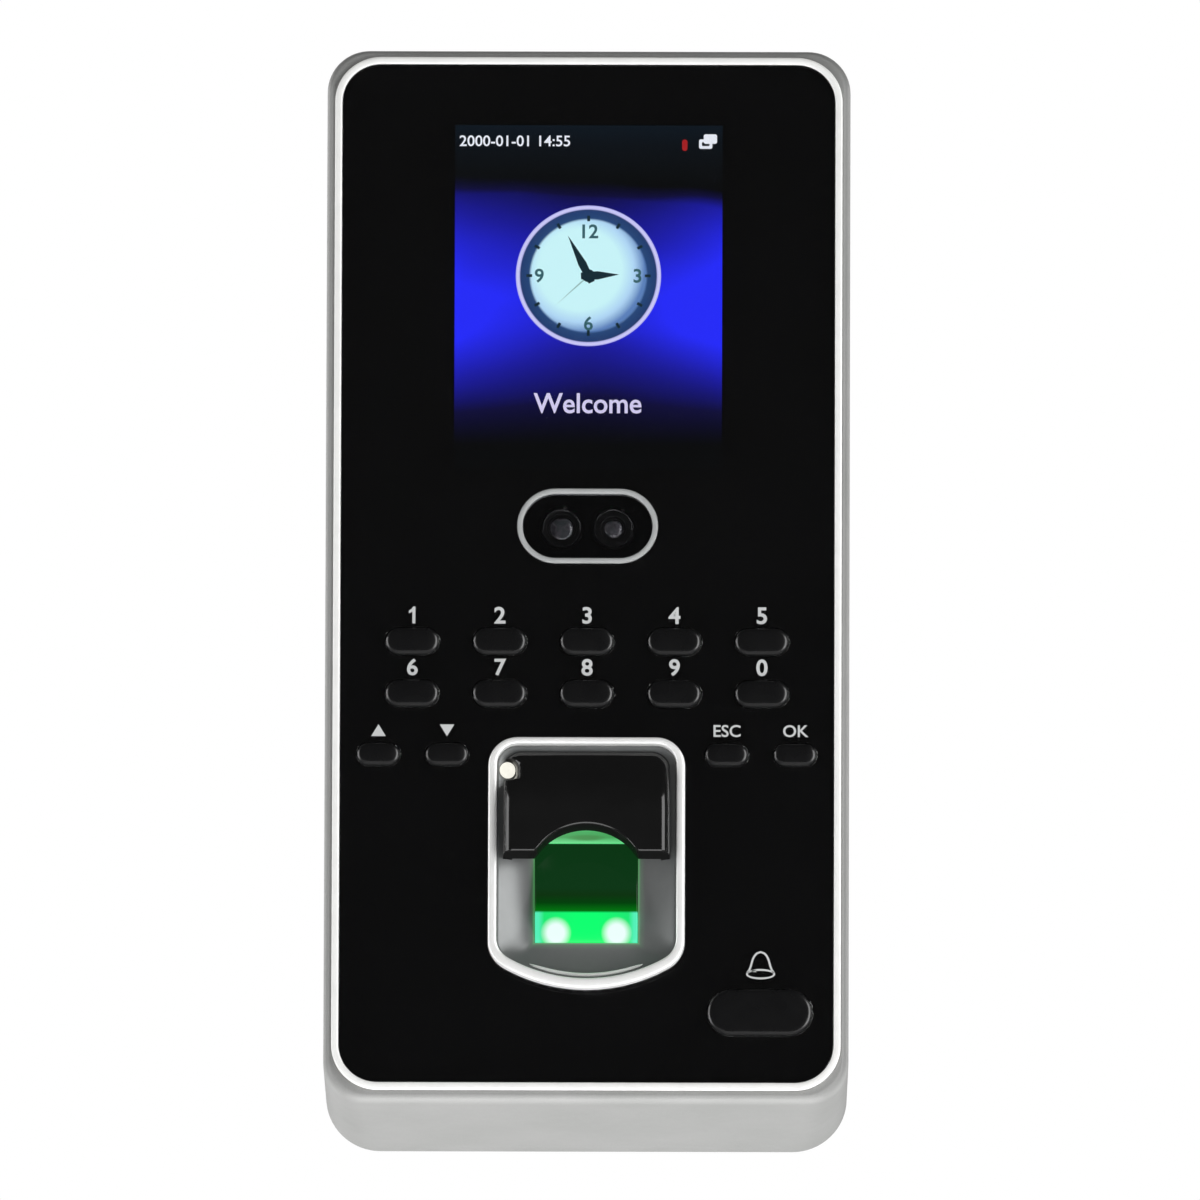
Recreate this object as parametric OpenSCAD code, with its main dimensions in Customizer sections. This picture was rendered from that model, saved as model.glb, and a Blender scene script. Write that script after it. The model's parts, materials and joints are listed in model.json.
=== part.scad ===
// Wall-mounted face and fingerprint terminal.
// Millimetres. +X to the viewer's right, +Y into the wall, +Z up.
// The origin is the centre of the wall plate's back face, so the wall is the plane y = 0.
// A depth named *_y is a position along Y, and it is negative because the terminal stands off the wall.

/* [Casing] */
// Width of the casing across its shoulder
case_w = 90; // [88:0.5:96]
// Height of the casing
case_h = 186.4; // [184:0.2:192]
// Depth from the wall to the front edge of the casing's shoulder
case_d = 39; // [38.5:0.1:42]
// Corner radius of the casing at the front
case_r = 7.2; // [6:0.1:8]
// Corner radius of the casing at the wall
case_rear_r = 9.4; // [8:0.1:10]
// Draft: how much narrower each side is at the wall
case_draft = 0.25; // [0:0.05:0.4]
// Thickness of the side walls
wall_t = 2.2; // [1.8:0.1:2.6]
// Thickness of the deck that carries the front panel
deck_t = 2; // [1.6:0.1:2.4]

/* [Front panel] */
// Width of the bright trim ring
trim_w = 87.3; // [87:0.1:87.6]
// Height of the bright trim ring
trim_h = 182.8; // [182.4:0.1:183]
// Outer corner radius of the trim ring
trim_r = 7.9; // [7.4:0.1:8.2]
// Width of the trim ring's band
trim_band = 1.2; // [1:0.05:1.4]
// Thickness of the clear front panel
lens_t = 1.8; // [1.5:0.1:2]
// Thickness of the black printed film behind the panel
film_t = 0.2; // [0.15:0.05:0.25]

/* [Screen] */
// Width of the display's active area
screen_w = 45.7; // [44:0.1:46]
// Height of the display's active area
screen_h = 60.9; // [58:0.1:61]
// Height of the active area's centre above the casing's middle
screen_z = 49.1; // [49:0.05:49.4]
// Width of the display module
lcd_w = 51; // [50:0.1:51.2]
// Height of the display module
lcd_h = 69.9; // [69:0.1:70]

/* [Camera window] */
// Width of the camera window's ring
cam_w = 24.1; // [23:0.1:25]
// Height of the camera window's ring
cam_h = 13.15; // [12.8:0.05:13.2]
// Height of the window's centre above the casing's middle
cam_z = 8.2; // [8:0.05:8.3]
// Distance of each camera from the centre line
cam_x = 4.45; // [4.2:0.05:4.6]

/* [Keys] */
// Width of a number key
key_w = 9.2; // [8.8:0.1:9.4]
// Height of a number key
key_h = 4.8; // [4.4:0.1:5]
// Sideways pitch of the number keys
key_pitch = 15; // [14.8:0.1:15.2]
// Height of the upper row of number keys
row_1_z = -12.3; // [-12.4:0.05:-12.2]
// Height of the lower row of number keys
row_2_z = -21.5; // [-21.6:0.05:-21.4]
// Width of an arrow or function key
fn_w = 7.4; // [7:0.1:7.6]
// Height of an arrow or function key
fn_h = 4; // [3.8:0.1:4.2]
// Height of the row of arrow and function keys
fn_z = -32.3; // [-32.4:0.05:-32.2]
// Distance of the inner function keys from the centre line
fn_x1 = 24; // [23.9:0.05:24.1]
// Distance of the outer function keys from the centre line
fn_x2 = 35.75; // [35.6:0.05:35.9]
// Width of the bell key
bell_w = 18; // [17:0.1:18.4]
// Height of the bell key
bell_h = 8.2; // [8:0.1:8.4]
// Sideways place of the bell key
bell_x = 29.8; // [29.6:0.1:30]
// Height of the bell key's centre
bell_z = -77.8; // [-78:0.1:-77.6]
// How far the keys stand proud of the panel
key_proud = 0.9; // [0.8:0.05:1.1]
// Travel of every key
key_travel = 0.7; // [0.5:0.05:0.75]
// Clearance round a key in its openings
key_gap = 0.15; // [0.12:0.01:0.2]

/* [Fingerprint reader] */
// Width of the reader's ring
ring_w = 33.7; // [33:0.1:34]
// Height of the top edge of the ring
ring_top_z = -29.5; // [-29.6:0.05:-29.4]
// Height of the lowest point of the ring
ring_low_z = -73.8; // [-74:0.05:-73.6]
// Radius of the ring's top corners
ring_top_r = 5; // [4.5:0.1:5.5]
// Radius of the ring's lower corners
ring_low_r = 5.5; // [5:0.1:6]
// Radius of the arc along the ring's lower edge
ring_arc_r = 28.3; // [27:0.1:30]
// Width of the ring's band
ring_band = 1.45; // [1.3:0.05:1.6]
// How far the ring stands proud of the panel
ring_proud = 1.5; // [1.2:0.1:1.8]
// Width of the glass prism
prism_w = 17.6; // [17:0.1:18]
// How far the hood stands proud of the panel
hood_proud = 5; // [4:0.1:5.5]
// Width of the hood
hood_w = 28.6; // [28:0.1:28.8]
// Height of the arch in the hood's lower edge
arch_rise = 4.8; // [4.4:0.1:5]
// Diameter of the white status lamp
lamp_d = 2.7; // [2.4:0.1:2.8]

/* [Wall plate] */
// Width of the wall plate
plate_w = 74; // [72:0.5:78]
// Height of the wall plate
plate_h = 168; // [166:0.5:172]
// Thickness of the wall plate
plate_t = 1.5; // [1.2:0.1:1.6]
// Sideways distance between the wall screw holes
hole_dx = 62; // [61:0.5:63]
// Vertical distance between the wall screw holes
hole_dz = 116; // [112:1:120]
// Diameter of the wall screw holes
hole_d = 4.4; // [4:0.1:4.6]

/* [Hidden] */
$fn = 48;
slip = 0.1;
lap = 0.5;
// Depth of each layer, from the front to the wall
shoulder_y = -case_d;
shoulder_in = 1.2;
shoulder_deep = 3;
rim_round = 0.5;
pocket_y = shoulder_y + 1.3;
film_front_y = pocket_y - film_t;
lens_front_y = film_front_y - lens_t;
trim_front_y = lens_front_y - 0.3;
deck_back_y = pocket_y + deck_t;
rim_y = -0.5;
cover_front_y = -6;
cover_back_y = -4;
board_front_y = -21.1;
board_back_y = -19.5;
board_z0 = -33;
inner_w = case_w - 2 * wall_t;
inner_h = case_h - 2 * wall_t;
inner_r = 5.4;
// Display stack
lcd_z = screen_z - screen_h / 2 - 2.45 + lcd_h / 2;
lcd_glass_y = pocket_y + 0.4;
lcd_glass_t = 1.2;
lcd_back_y = lcd_glass_y + 4;
// Camera stack
cam_window_y = -39.5;
cam_window_t = 1.2;
cam_body_y = -33;
cam_board_y = -30;
// Keys
key_front_y = lens_front_y - key_proud;
flange_y = deck_back_y + 0.1;
flange_t = 1;
flange_rim = 0.8;
stem_end_y = flange_y + 2.6;
button_y = stem_end_y + key_travel + 0.05;
switch_y = button_y + 0.8;
keypad_y = switch_y + 2.2;
keypad_t = 1.2;
keypad_z0 = -38;
keypad_z1 = -5;
number_names = ["1", "2", "3", "4", "5", "6", "7", "8", "9", "0"];
fn_names = ["up", "down", "esc", "ok"];
fn_xs = [-fn_x2, -fn_x1, fn_x1, fn_x2];
number_spots = [for (i = [0:9]) [key_pitch * (i % 5 - 2), i < 5 ? row_1_z : row_2_z]];
fn_spots = [for (x = fn_xs) [x, fn_z]];
pad_spots = concat(number_spots, fn_spots);
// Fingerprint reader
ring_front_y = lens_front_y - ring_proud;
cradle_front_y = ring_front_y + 1.6;
floor_y = -37.3;
prism_low_z = -64.9;
prism_fold_z = -59.7;
prism_top_z = -47.4;
prism_fold_y = -38.9;
hood_front_y = lens_front_y - hood_proud;
hood_low_z = -50.6;
hood_top_z = -31.4;
arch_half = 8.7;
arch_r = (arch_half * arch_half + arch_rise * arch_rise) / (2 * arch_rise);
arch_z = hood_low_z + arch_rise - arch_r;
lamp_x = -13.6;
lamp_z = -35;
lamp_front_y = -40.3;
lamp_back_y = -31;
sensor_x = 13.5;
sensor_z0 = -71.5;
sensor_z1 = -34;
sensor_back_y = -21.4;
sensor_board_z1 = -37;
led_x = 5.2;
led_z = -62.6;
led_front_y = -32.6;
// Wiring bay in the rear cover
bay_x = 30;
bay_z0 = -72;
bay_z1 = -36;
bay_floor_y = -18;
bay_t = 1.6;
// Fastener places
cover_bosses = [for (x = [-38.5, 38.5], z = [-86.5, 5, 86.5]) [x, z]];
board_bosses = [for (x = [-1, 1]) each [[x * 31, 56], [x * 30, -28.2]]];
pad_bosses = [for (x = [-22.5, -7.5, 7.5, 22.5]) [x, -16.9]];
bell_bosses = [for (z = [-85.6, -70]) [bell_x, z]];
sensor_bosses = concat([for (x = [-7.5, 7.5]) [x, -27.7]], [for (x = [-10, 10]) [x, -76.4]]);
ear_front_y = deck_back_y + 2;
ear_t = 1.5;
wall_holes = [for (x = [-1, 1], z = [-1, 1]) [x * hole_dx / 2, z * hole_dz / 2]];
hooks = [for (x = [-30, 30], z = [-80, 72]) [x, z]];
hook_w = 8;
// Tamper switch
tamper_x = 20;
tamper_z = 25;
plunger_r = 1.7;
// Parts on the main board
jack_x = -20;
usb_x = -3;
block_x = 16;
block_w = 23;
pole = 3.81;
battery = [-22, -3];
mouth_z = bay_z1;
speaker_z = 73;

// ---------- Outlines, drawn in X and Z ----------

module rounded(w, h, r) {
    square([w - 2 * r, h], center = true);
    square([w, h - 2 * r], center = true);
    for (x = [-1, 1], z = [-1, 1])
        translate([x * (w / 2 - r), z * (h / 2 - r)]) circle(r = r);
}

module obround(w, h) {
    square([w - h, h], center = true);
    for (x = [-1, 1])
        translate([x * (w - h) / 2, 0]) circle(r = h / 2);
}

// Outline of the fingerprint reader, drawn in from its outer edge by inset: square shoulders above,
// round lower corners that run into one shallow arc.
module finger_outline(inset = 0) {
    corner_x = ring_w / 2 - ring_low_r;
    arc_z = ring_low_z + ring_arc_r;
    corner_z = arc_z - sqrt(pow(ring_arc_r - ring_low_r, 2) - corner_x * corner_x);
    top_z = ring_top_z - ring_top_r;
    reach = 2;
    intersection() {
        translate([0, arc_z]) circle(r = ring_arc_r - inset, $fn = 96);
        polygon([
            [0, arc_z],
            [-corner_x * reach, arc_z + (corner_z - arc_z) * reach],
            [corner_x * reach, arc_z + (corner_z - arc_z) * reach]
        ]);
    }
    for (s = [-1, 1]) {
        translate([s * corner_x, corner_z]) circle(r = ring_low_r - inset);
        translate([s * (ring_w / 2 - ring_top_r), top_z]) circle(r = ring_top_r - inset);
    }
    translate([-ring_w / 2 + inset, corner_z]) square([ring_w - 2 * inset, top_z - corner_z]);
    translate([-ring_w / 2 + ring_top_r, corner_z])
        square([ring_w - 2 * ring_top_r, ring_top_z - inset - corner_z]);
}

// ---------- Solids ----------

// An X-Z outline made solid between two depths
module plate(y0, y1) {
    translate([0, y1, 0]) rotate([90, 0, 0]) linear_extrude(y1 - y0) children();
}

module block(x0, x1, y0, y1, z0, z1) {
    translate([x0, y0, z0]) cube([x1 - x0, y1 - y0, z1 - z0]);
}

// A round rod along Y, with its centre line at [x, z]
module rod(spot, r, y0, y1) {
    translate([spot[0], y1, spot[1]]) rotate([90, 0, 0]) cylinder(r = r, h = y1 - y0);
}

module cone(spot, r_front, r_back, y0, y1) {
    translate([spot[0], y1, spot[1]]) rotate([90, 0, 0]) cylinder(r1 = r_back, r2 = r_front, h = y1 - y0);
}

// A flat ribbon of width w, bent along [y, z] points
module ribbon(x, w, points, t = 0.4) {
    translate([x - w / 2, 0, 0]) rotate([90, 0, 90]) linear_extrude(w) {
        for (i = [0:len(points) - 2]) {
            step = points[i + 1] - points[i];
            translate(points[i]) rotate(atan2(step[1], step[0]))
                translate([0, -t / 2]) square([norm(step), t]);
        }
        for (i = [1:1:len(points) - 2])
            translate(points[i]) circle(r = t / 2, $fn = 24);
    }
}

// A cross-recessed screw whose head is at its wall end and whose shank runs towards the front
module screw(spot, head_r, head_y0, head_y1, shank_r, tip_y) {
    difference() {
        union() {
            rod(spot, head_r, head_y0, head_y1);
            rod(spot, shank_r, tip_y, head_y0 + 0.01);
        }
        for (a = [0, 90])
            translate([spot[0], head_y1, spot[1]]) rotate([0, a, 0])
                cube([head_r * 1.2, 1.2, head_r * 0.28], center = true);
    }
}

// ---------- Casing ----------

module case_slice(inset, r, y) {
    plate(y, y + 0.01) rounded(case_w - 2 * inset, case_h - 2 * inset, r);
}

module case_outside() {
    hull() {
        for (a = [0:15:90])
            case_slice(
                shoulder_in * (1 - sin(a)),
                case_r - shoulder_in * (1 - sin(a)) / 2,
                shoulder_y + shoulder_deep * (1 - cos(a))
            );
        case_slice(case_draft, case_rear_r, rim_y - rim_round);
        case_slice(case_draft + rim_round, case_rear_r - rim_round, rim_y - 0.01);
    }
}

module lcd_place() {
    translate([0, lcd_z]) children();
}

module cam_place() {
    translate([0, cam_z]) children();
}

module key_openings(gap) {
    for (s = number_spots)
        translate(s) obround(key_w + 2 * gap, key_h + 2 * gap);
    for (s = fn_spots)
        translate(s) obround(fn_w + 2 * gap, fn_h + 2 * gap);
    translate([bell_x, bell_z]) obround(bell_w + 2 * gap, bell_h + 2 * gap);
}

module boss(spot, r, bore_r, y1) {
    difference() {
        rod(spot, r, deck_back_y - 0.01, y1);
        rod(spot, bore_r, y1 - 6, y1 + 1);
    }
}

module front_casing() {
    color("silver") {
        difference() {
            case_outside();
            plate(shoulder_y - 1, pocket_y) rounded(trim_w + slip, trim_h + slip, trim_r + slip / 2);
            plate(deck_back_y, 1) rounded(inner_w, inner_h, inner_r);
            plate(pocket_y - 1, deck_back_y + 1) {
                lcd_place() square([lcd_w + 0.4, lcd_h + 0.4], center = true);
                cam_place() obround(cam_w + slip, cam_h + slip);
                key_openings(key_gap);
                finger_outline(-slip / 2);
            }
            for (s = sensor_bosses)
                rod(s, 0.8, pocket_y + 0.6, deck_back_y + 1);
        }
        for (s = cover_bosses)
            boss(s, 3, 1.2, cover_front_y);
        for (s = board_bosses)
            boss(s, 2.3, 0.85, board_front_y);
        for (s = concat(pad_bosses, bell_bosses))
            boss(s, 1.9, 0.85, keypad_y);
        for (s = sensor_bosses)
            difference() {
                rod(s, 1.8, deck_back_y - 0.01, ear_front_y);
                rod(s, 0.8, deck_back_y - 1, ear_front_y + 1);
            }
    }
}

module trim_ring() {
    color("whitesmoke")
        difference() {
            union() {
                plate(trim_front_y + 0.35, pocket_y) rounded(trim_w, trim_h, trim_r);
                plate(trim_front_y, trim_front_y + 0.35) rounded(trim_w - 0.5, trim_h - 0.5, trim_r - 0.25);
            }
            plate(trim_front_y - 1, pocket_y + 1)
                rounded(trim_w - 2 * trim_band, trim_h - 2 * trim_band, trim_r - trim_band);
        }
}

module panel_outline() {
    difference() {
        rounded(
            trim_w - 2 * trim_band - slip,
            trim_h - 2 * trim_band - slip,
            trim_r - trim_band - slip / 2
        );
        cam_place() obround(cam_w + slip, cam_h + slip);
        key_openings(key_gap);
        finger_outline(-slip / 2);
    }
}

module front_panel() {
    color("dimgray", 0.4)
        plate(lens_front_y, film_front_y) panel_outline();
}

module panel_film() {
    color("black")
        plate(film_front_y, pocket_y)
            difference() {
                panel_outline();
                translate([0, screen_z]) square([screen_w + 0.3, screen_h + 0.3], center = true);
            }
}

// ---------- Display ----------

module lcd_gasket() {
    color("black")
        plate(pocket_y, lcd_glass_y)
            difference() {
                lcd_place() square([lcd_w - 1, lcd_h - 1], center = true);
                translate([0, screen_z]) square([screen_w + 1, screen_h + 1], center = true);
            }
}

module lcd_glass() {
    color("royalblue")
        plate(lcd_glass_y, lcd_glass_y + lcd_glass_t)
            lcd_place() square([lcd_w - 1.4, lcd_h - 1.4], center = true);
}

module lcd_frame() {
    color("gainsboro")
        difference() {
            plate(lcd_glass_y + 0.2, lcd_back_y) lcd_place() square([lcd_w, lcd_h], center = true);
            plate(lcd_glass_y, lcd_glass_y + lcd_glass_t)
                lcd_place() square([lcd_w - 1.3, lcd_h - 1.3], center = true);
        }
}

module lcd_flex() {
    color("goldenrod")
        ribbon(0, 22, [[lcd_back_y, 78], [-29, 78], [-26, 72], [-24, 55], [board_front_y, 55]]);
}

// ---------- Cameras ----------

module camera_ring() {
    color("silver")
        cam_ledge_cut()
            plate(trim_front_y - 0.05, deck_back_y) cam_place() obround(cam_w, cam_h);
}

// Cuts the ring's opening, wider in front of the ledge that the window sits on
module cam_ledge_cut() {
    difference() {
        children();
        plate(trim_front_y - 1, cam_window_y + cam_window_t)
            cam_place() obround(cam_w - 1.7, cam_h - 1.7);
        plate(trim_front_y - 1, deck_back_y + 1)
            cam_place() obround(cam_w - 3.4, cam_h - 3.4);
    }
}

module camera_window() {
    color("dimgray", 0.5)
        plate(cam_window_y, cam_window_y + cam_window_t)
            cam_place() obround(cam_w - 1.8, cam_h - 1.8);
}

module camera(x, lens_r) {
    spot = [x, cam_z];
    color("black") {
        difference() {
            rod(spot, 3.5, -37.9, cam_body_y + 0.01);
            cone(spot, lens_r + 0.5, lens_r, -38, -37.2);
        }
        block(x - 4.1, x + 4.1, cam_body_y, cam_board_y, cam_z - 4.1, cam_z + 4.1);
    }
    color("midnightblue")
        intersection() {
            translate([x, -35.3, cam_z]) sphere(r = 2.4);
            rod(spot, lens_r, -38, -37.2);
        }
}

module camera_board() {
    color("darkgreen")
        block(-12, 12, cam_board_y, cam_board_y + 1.2, cam_z - 6.5, cam_z + 6.5);
    color("dimgray")
        block(-5, 5, cam_board_y + 1.2, cam_board_y + 2.4, cam_z - 4, cam_z - 1);
}

module camera_flex() {
    color("goldenrod")
        ribbon(0, 9, [[cam_board_y + 1.2, 12], [-27, 12], [-24, 9], [-23, 4], [board_front_y, 4]]);
}

// ---------- Keys ----------

module key_cap(spot, w, h) {
    color([0.13, 0.13, 0.14]) {
        translate([spot[0], 0, spot[1]]) {
            plate(key_front_y, key_front_y + 0.3) obround(w - 0.5, h - 0.5);
            plate(key_front_y + 0.3, flange_y) obround(w, h);
            plate(flange_y, flange_y + flange_t) obround(w + 2 * flange_rim, h + 2 * flange_rim);
        }
        rod(spot, 1.5, flange_y + flange_t - 0.01, stem_end_y);
    }
}

module number_key(i) {
    key_cap(number_spots[i], key_w, key_h);
}

module function_key(i) {
    key_cap(fn_spots[i], fn_w, fn_h);
}

module key_bell() {
    key_cap([bell_x, bell_z], bell_w, bell_h);
}

module key_switches() {
    for (s = concat(pad_spots, [[bell_x, bell_z]])) {
        color("dimgray")
            block(s[0] - 3, s[0] + 3, switch_y, keypad_y, s[1] - 2.8, s[1] + 2.8);
        color("black")
            rod(s, 1.4, button_y, switch_y + 0.01);
    }
}

module keypad_board() {
    color("darkgreen")
        difference() {
            block(-40.5, 40.5, keypad_y, keypad_y + keypad_t, keypad_z0, keypad_z1);
            block(-18.5, 18.5, keypad_y - 1, keypad_y + 3, keypad_z0 - 1, -26);
            for (s = pad_bosses)
                rod(s, 1.1, keypad_y - 1, keypad_y + 3);
            for (s = board_bosses)
                rod(s, 2.6, keypad_y - 1, keypad_y + 3);
        }
}

module keypad_flex() {
    back_y = keypad_y + keypad_t;
    color("goldenrod")
        ribbon(15, 10, [[back_y, -8], [-26, -8], [-24, -11], [-23, -15], [board_front_y, -15]]);
}

module bell_board() {
    color("darkgreen")
        difference() {
            block(bell_x - 6, bell_x + 5, keypad_y, keypad_y + keypad_t, -88.2, -67.2);
            for (s = bell_bosses)
                rod(s, 1.1, keypad_y - 1, keypad_y + 3);
        }
}

module bell_lead() {
    back_y = keypad_y + keypad_t;
    color("whitesmoke")
        ribbon(25.5, 3, [[back_y, -72], [-26.2, -72], [-25, -69], [-25, -39], [-26.2, -36], [back_y, -36]], 0.9);
}

// ---------- Fingerprint reader ----------

module finger_ring() {
    color("whitesmoke")
        difference() {
            union() {
                plate(ring_front_y + 0.4, deck_back_y) finger_outline(0);
                plate(ring_front_y, ring_front_y + 0.4) finger_outline(0.3);
            }
            plate(ring_front_y - 1, deck_back_y + 1)
                translate([0, 0.3]) finger_outline(ring_band);
        }
}

// The cradle's hollow: straight sides at the mouth, narrowing to a flat floor
module cradle_hollow() {
    hull() {
        plate(cradle_front_y - 0.05, cradle_front_y + 0.1) finger_outline(ring_band + 0.6);
        block(-9.4, 9.4, floor_y - 0.01, floor_y, prism_low_z - 1.2, hood_top_z - 2.5);
    }
}

module cradle_blank() {
    plate(cradle_front_y, deck_back_y) translate([0, 0.3]) finger_outline(ring_band + 0.05);
}

module finger_cradle() {
    color("darkgray")
        difference() {
            cradle_blank();
            cradle_hollow();
            block(
                -prism_w / 2 - 0.1, prism_w / 2 + 0.1,
                floor_y - 3, deck_back_y + 1,
                prism_low_z - 0.1, prism_top_z + 0.1
            );
            rod([lamp_x, lamp_z], lamp_d / 2 + 0.05, cradle_front_y - 1, deck_back_y + 1);
        }
}

module hood_slab(w, r, z0, z1, y) {
    plate(y, y + 0.01) translate([0, (z0 + z1) / 2]) rounded(w, z1 - z0, r);
}

module finger_hood() {
    color([0.06, 0.06, 0.07])
        difference() {
            hull() {
                hood_slab(hood_w, 1.4, hood_low_z + 0.4, hood_top_z - 0.2, floor_y - 1.2);
                hood_slab(hood_w - 0.4, 1.2, hood_low_z, hood_top_z - 5.5, ring_front_y - 1.2);
                hood_slab(hood_w - 1.6, 1, hood_low_z + 0.1, hood_top_z - 12, hood_front_y);
                hood_slab(hood_w - 3.2, 1, hood_low_z + 0.6, hood_top_z - 1.6, floor_y - 0.01);
            }
            hull() {
                hood_slab(hood_w - 5, 1.2, hood_low_z - 4, hood_top_z - 8, floor_y - 0.01);
                hood_slab(hood_w - 7, 1.2, hood_low_z - 4, hood_top_z - 13, hood_front_y + 2);
            }
            plate(hood_front_y - 1, floor_y + 1) translate([0, arch_z]) circle(r = arch_r);
            difference() {
                cradle_blank();
                cradle_hollow();
            }
            rod([lamp_x, lamp_z], lamp_d / 2 + 0.15, hood_front_y - 1, floor_y + 1);
        }
}

module finger_prism() {
    profile = [
        [floor_y + 0.1, prism_low_z],
        [prism_fold_y, prism_fold_z],
        [floor_y, prism_top_z],
        [-29, prism_top_z],
        [-29, prism_top_z - 3],
        [-34.5, prism_low_z]
    ];
    color("lime", 0.8)
        translate([-prism_w / 2, 0, 0]) rotate([90, 0, 90]) linear_extrude(prism_w) polygon(profile);
}

module status_lamp() {
    spot = [lamp_x, lamp_z];
    color("white") {
        cone(spot, lamp_d / 2 - 0.35, lamp_d / 2, lamp_front_y, lamp_front_y + 0.35);
        rod(spot, lamp_d / 2, lamp_front_y + 0.35, lamp_back_y);
    }
}

module sensor_housing() {
    color("black") {
        difference() {
            block(-sensor_x - 2.1, sensor_x, deck_back_y, sensor_back_y, sensor_z0, sensor_z1 + 1);
            block(
                -sensor_x + 1.8, sensor_x - 1.8,
                deck_back_y - 1, sensor_back_y - 1.5,
                sensor_z0 + 2, sensor_z1 - 4
            );
            rod([lamp_x, lamp_z], lamp_d / 2 + 0.1, deck_back_y - 1, lamp_back_y + 0.1);
            for (x = [-led_x, led_x])
                rod([x, led_z], 0.5, sensor_back_y - 3, sensor_back_y + 1);
        }
        for (s = sensor_bosses) {
            low = s[1] < sensor_z0;
            difference() {
                union() {
                    rod(s, 2, ear_front_y, ear_front_y + ear_t);
                    block(
                        s[0] - 2, s[0] + 2,
                        ear_front_y, ear_front_y + ear_t,
                        low ? s[1] : sensor_z1 + 0.5, low ? sensor_z0 + 0.5 : s[1]
                    );
                }
                rod(s, 1.05, ear_front_y - 1, ear_front_y + ear_t + 1);
            }
        }
    }
}

module sensor_leds() {
    color("palegreen")
        for (x = [-led_x, led_x]) {
            rod([x, led_z], 1.5, led_front_y, led_front_y + 4);
            rod([x, led_z], 0.4, led_front_y + 3.99, sensor_back_y);
        }
}

module sensor_board() {
    color("darkgreen")
        block(-12, 12, sensor_back_y, sensor_back_y + 1.2, -70, sensor_board_z1);
    color("dimgray")
        block(-4, 4, sensor_back_y + 1.2, sensor_back_y + 1.75, -54, -46);
}

module sensor_lead() {
    color("whitesmoke")
        ribbon(0, 7, [[sensor_back_y + 0.65, sensor_board_z1], [sensor_back_y + 0.65, board_z0]], 0.9);
}

// ---------- Main board ----------

module main_board() {
    color("darkgreen")
        difference() {
            block(-34.5, 34.5, board_front_y, board_back_y, board_z0, 60);
            for (s = board_bosses)
                rod(s, 1.1, board_front_y - 1, board_back_y + 1);
        }
}

module chip(x, z, w, h, t) {
    block(x - w / 2, x + w / 2, board_back_y, board_back_y + t, z - h / 2, z + h / 2);
}

module main_chips() {
    color([0.1, 0.1, 0.1]) {
        chip(-6, 34, 16, 16, 1.4);
        chip(-6, 14, 11, 14, 1.1);
        chip(-24, 34, 10, 12, 1.1);
        chip(-24, 16, 7, 7, 1);
        chip(10, 6, 12, 9, 1.2);
    }
    color("silver") {
        chip(-24, 46, 11, 4.5, 3.5);
        chip(8, 46, 7, 7, 3);
        for (x = [22, 29])
            rod([x, 42], 3, board_back_y, board_back_y + 9);
    }
}

module network_jack() {
    color("silver")
        difference() {
            block(jack_x - 8, jack_x + 8, board_back_y, cover_front_y - 0.2, mouth_z, mouth_z + 21);
            block(jack_x - 5.95, jack_x + 5.95, -17.4, -10.6, mouth_z - 1, mouth_z + 13);
            block(jack_x - 3.1, jack_x + 3.1, -10.7, -8.6, mouth_z - 1, mouth_z + 13);
        }
}

module usb_port() {
    color("silver") {
        difference() {
            block(usb_x - 7, usb_x + 7, board_back_y, -12.9, mouth_z, mouth_z + 14);
            block(usb_x - 6.3, usb_x + 6.3, -18.6, -13.5, mouth_z - 1, mouth_z + 10);
        }
        block(usb_x - 5.6, usb_x + 5.6, -18.61, -16.8, mouth_z + 1, mouth_z + 10.01);
    }
}

module terminal_block() {
    color("seagreen")
        difference() {
            block(block_x - block_w / 2, block_x + block_w / 2, board_back_y, -10.5, mouth_z, mouth_z + 9);
            for (i = [-2.5:1:2.5]) {
                block(
                    block_x + i * pole - 1.3, block_x + i * pole + 1.3,
                    -17.6, -14.6,
                    mouth_z - 1, mouth_z + 6
                );
                rod([block_x + i * pole, mouth_z + 4], 1.35, -13.4, -10);
            }
        }
    color("silver")
        for (i = [-2.5:1:2.5])
            rod([block_x + i * pole, mouth_z + 4], 1.3, -13.4, -11.6);
}

module relay() {
    color("black")
        chip(22, -12, 20, 10, 11);
}

module clock_battery() {
    color("dimgray")
        difference() {
            union() {
                rod(battery, 11.2, board_back_y, board_back_y + 4);
                block(
                    battery[0] - 11.2, battery[0],
                    board_back_y, board_back_y + 4,
                    battery[1] - 3, battery[1] + 3
                );
            }
            rod(battery, 10.1, board_back_y + 0.8, board_back_y + 5);
        }
    color("silver")
        rod(battery, 10, board_back_y + 0.8, board_back_y + 4);
}

module speaker() {
    spot = [0, speaker_z];
    color("silver")
        rod(spot, 11, -14, -9.99);
    color("black")
        difference() {
            rod(spot, 14, -10, cover_front_y);
            cone(spot, 5, 12.6, -9, cover_front_y + 0.01);
        }
}

module speaker_lead() {
    color("firebrick")
        for (x = [-2, 2])
            ribbon(x, 1, [[-14, 66], [-15.5, 66], [-17.5, 58], [board_back_y, 58]], 1);
}

module tamper_switch() {
    spot = [tamper_x, tamper_z];
    color("black")
        difference() {
            chip(tamper_x, tamper_z, 6, 6, 7);
            rod(spot, plunger_r + 0.08, board_back_y + 3, board_back_y + 8);
        }
}

module tamper_plunger() {
    spot = [tamper_x, tamper_z];
    tip_y = -plate_t - 0.05;
    color("white") {
        rod(spot, plunger_r, board_back_y + 5, tip_y - 0.6);
        cone(spot, plunger_r, plunger_r - 0.6, tip_y - 0.6, tip_y);
    }
}

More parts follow.
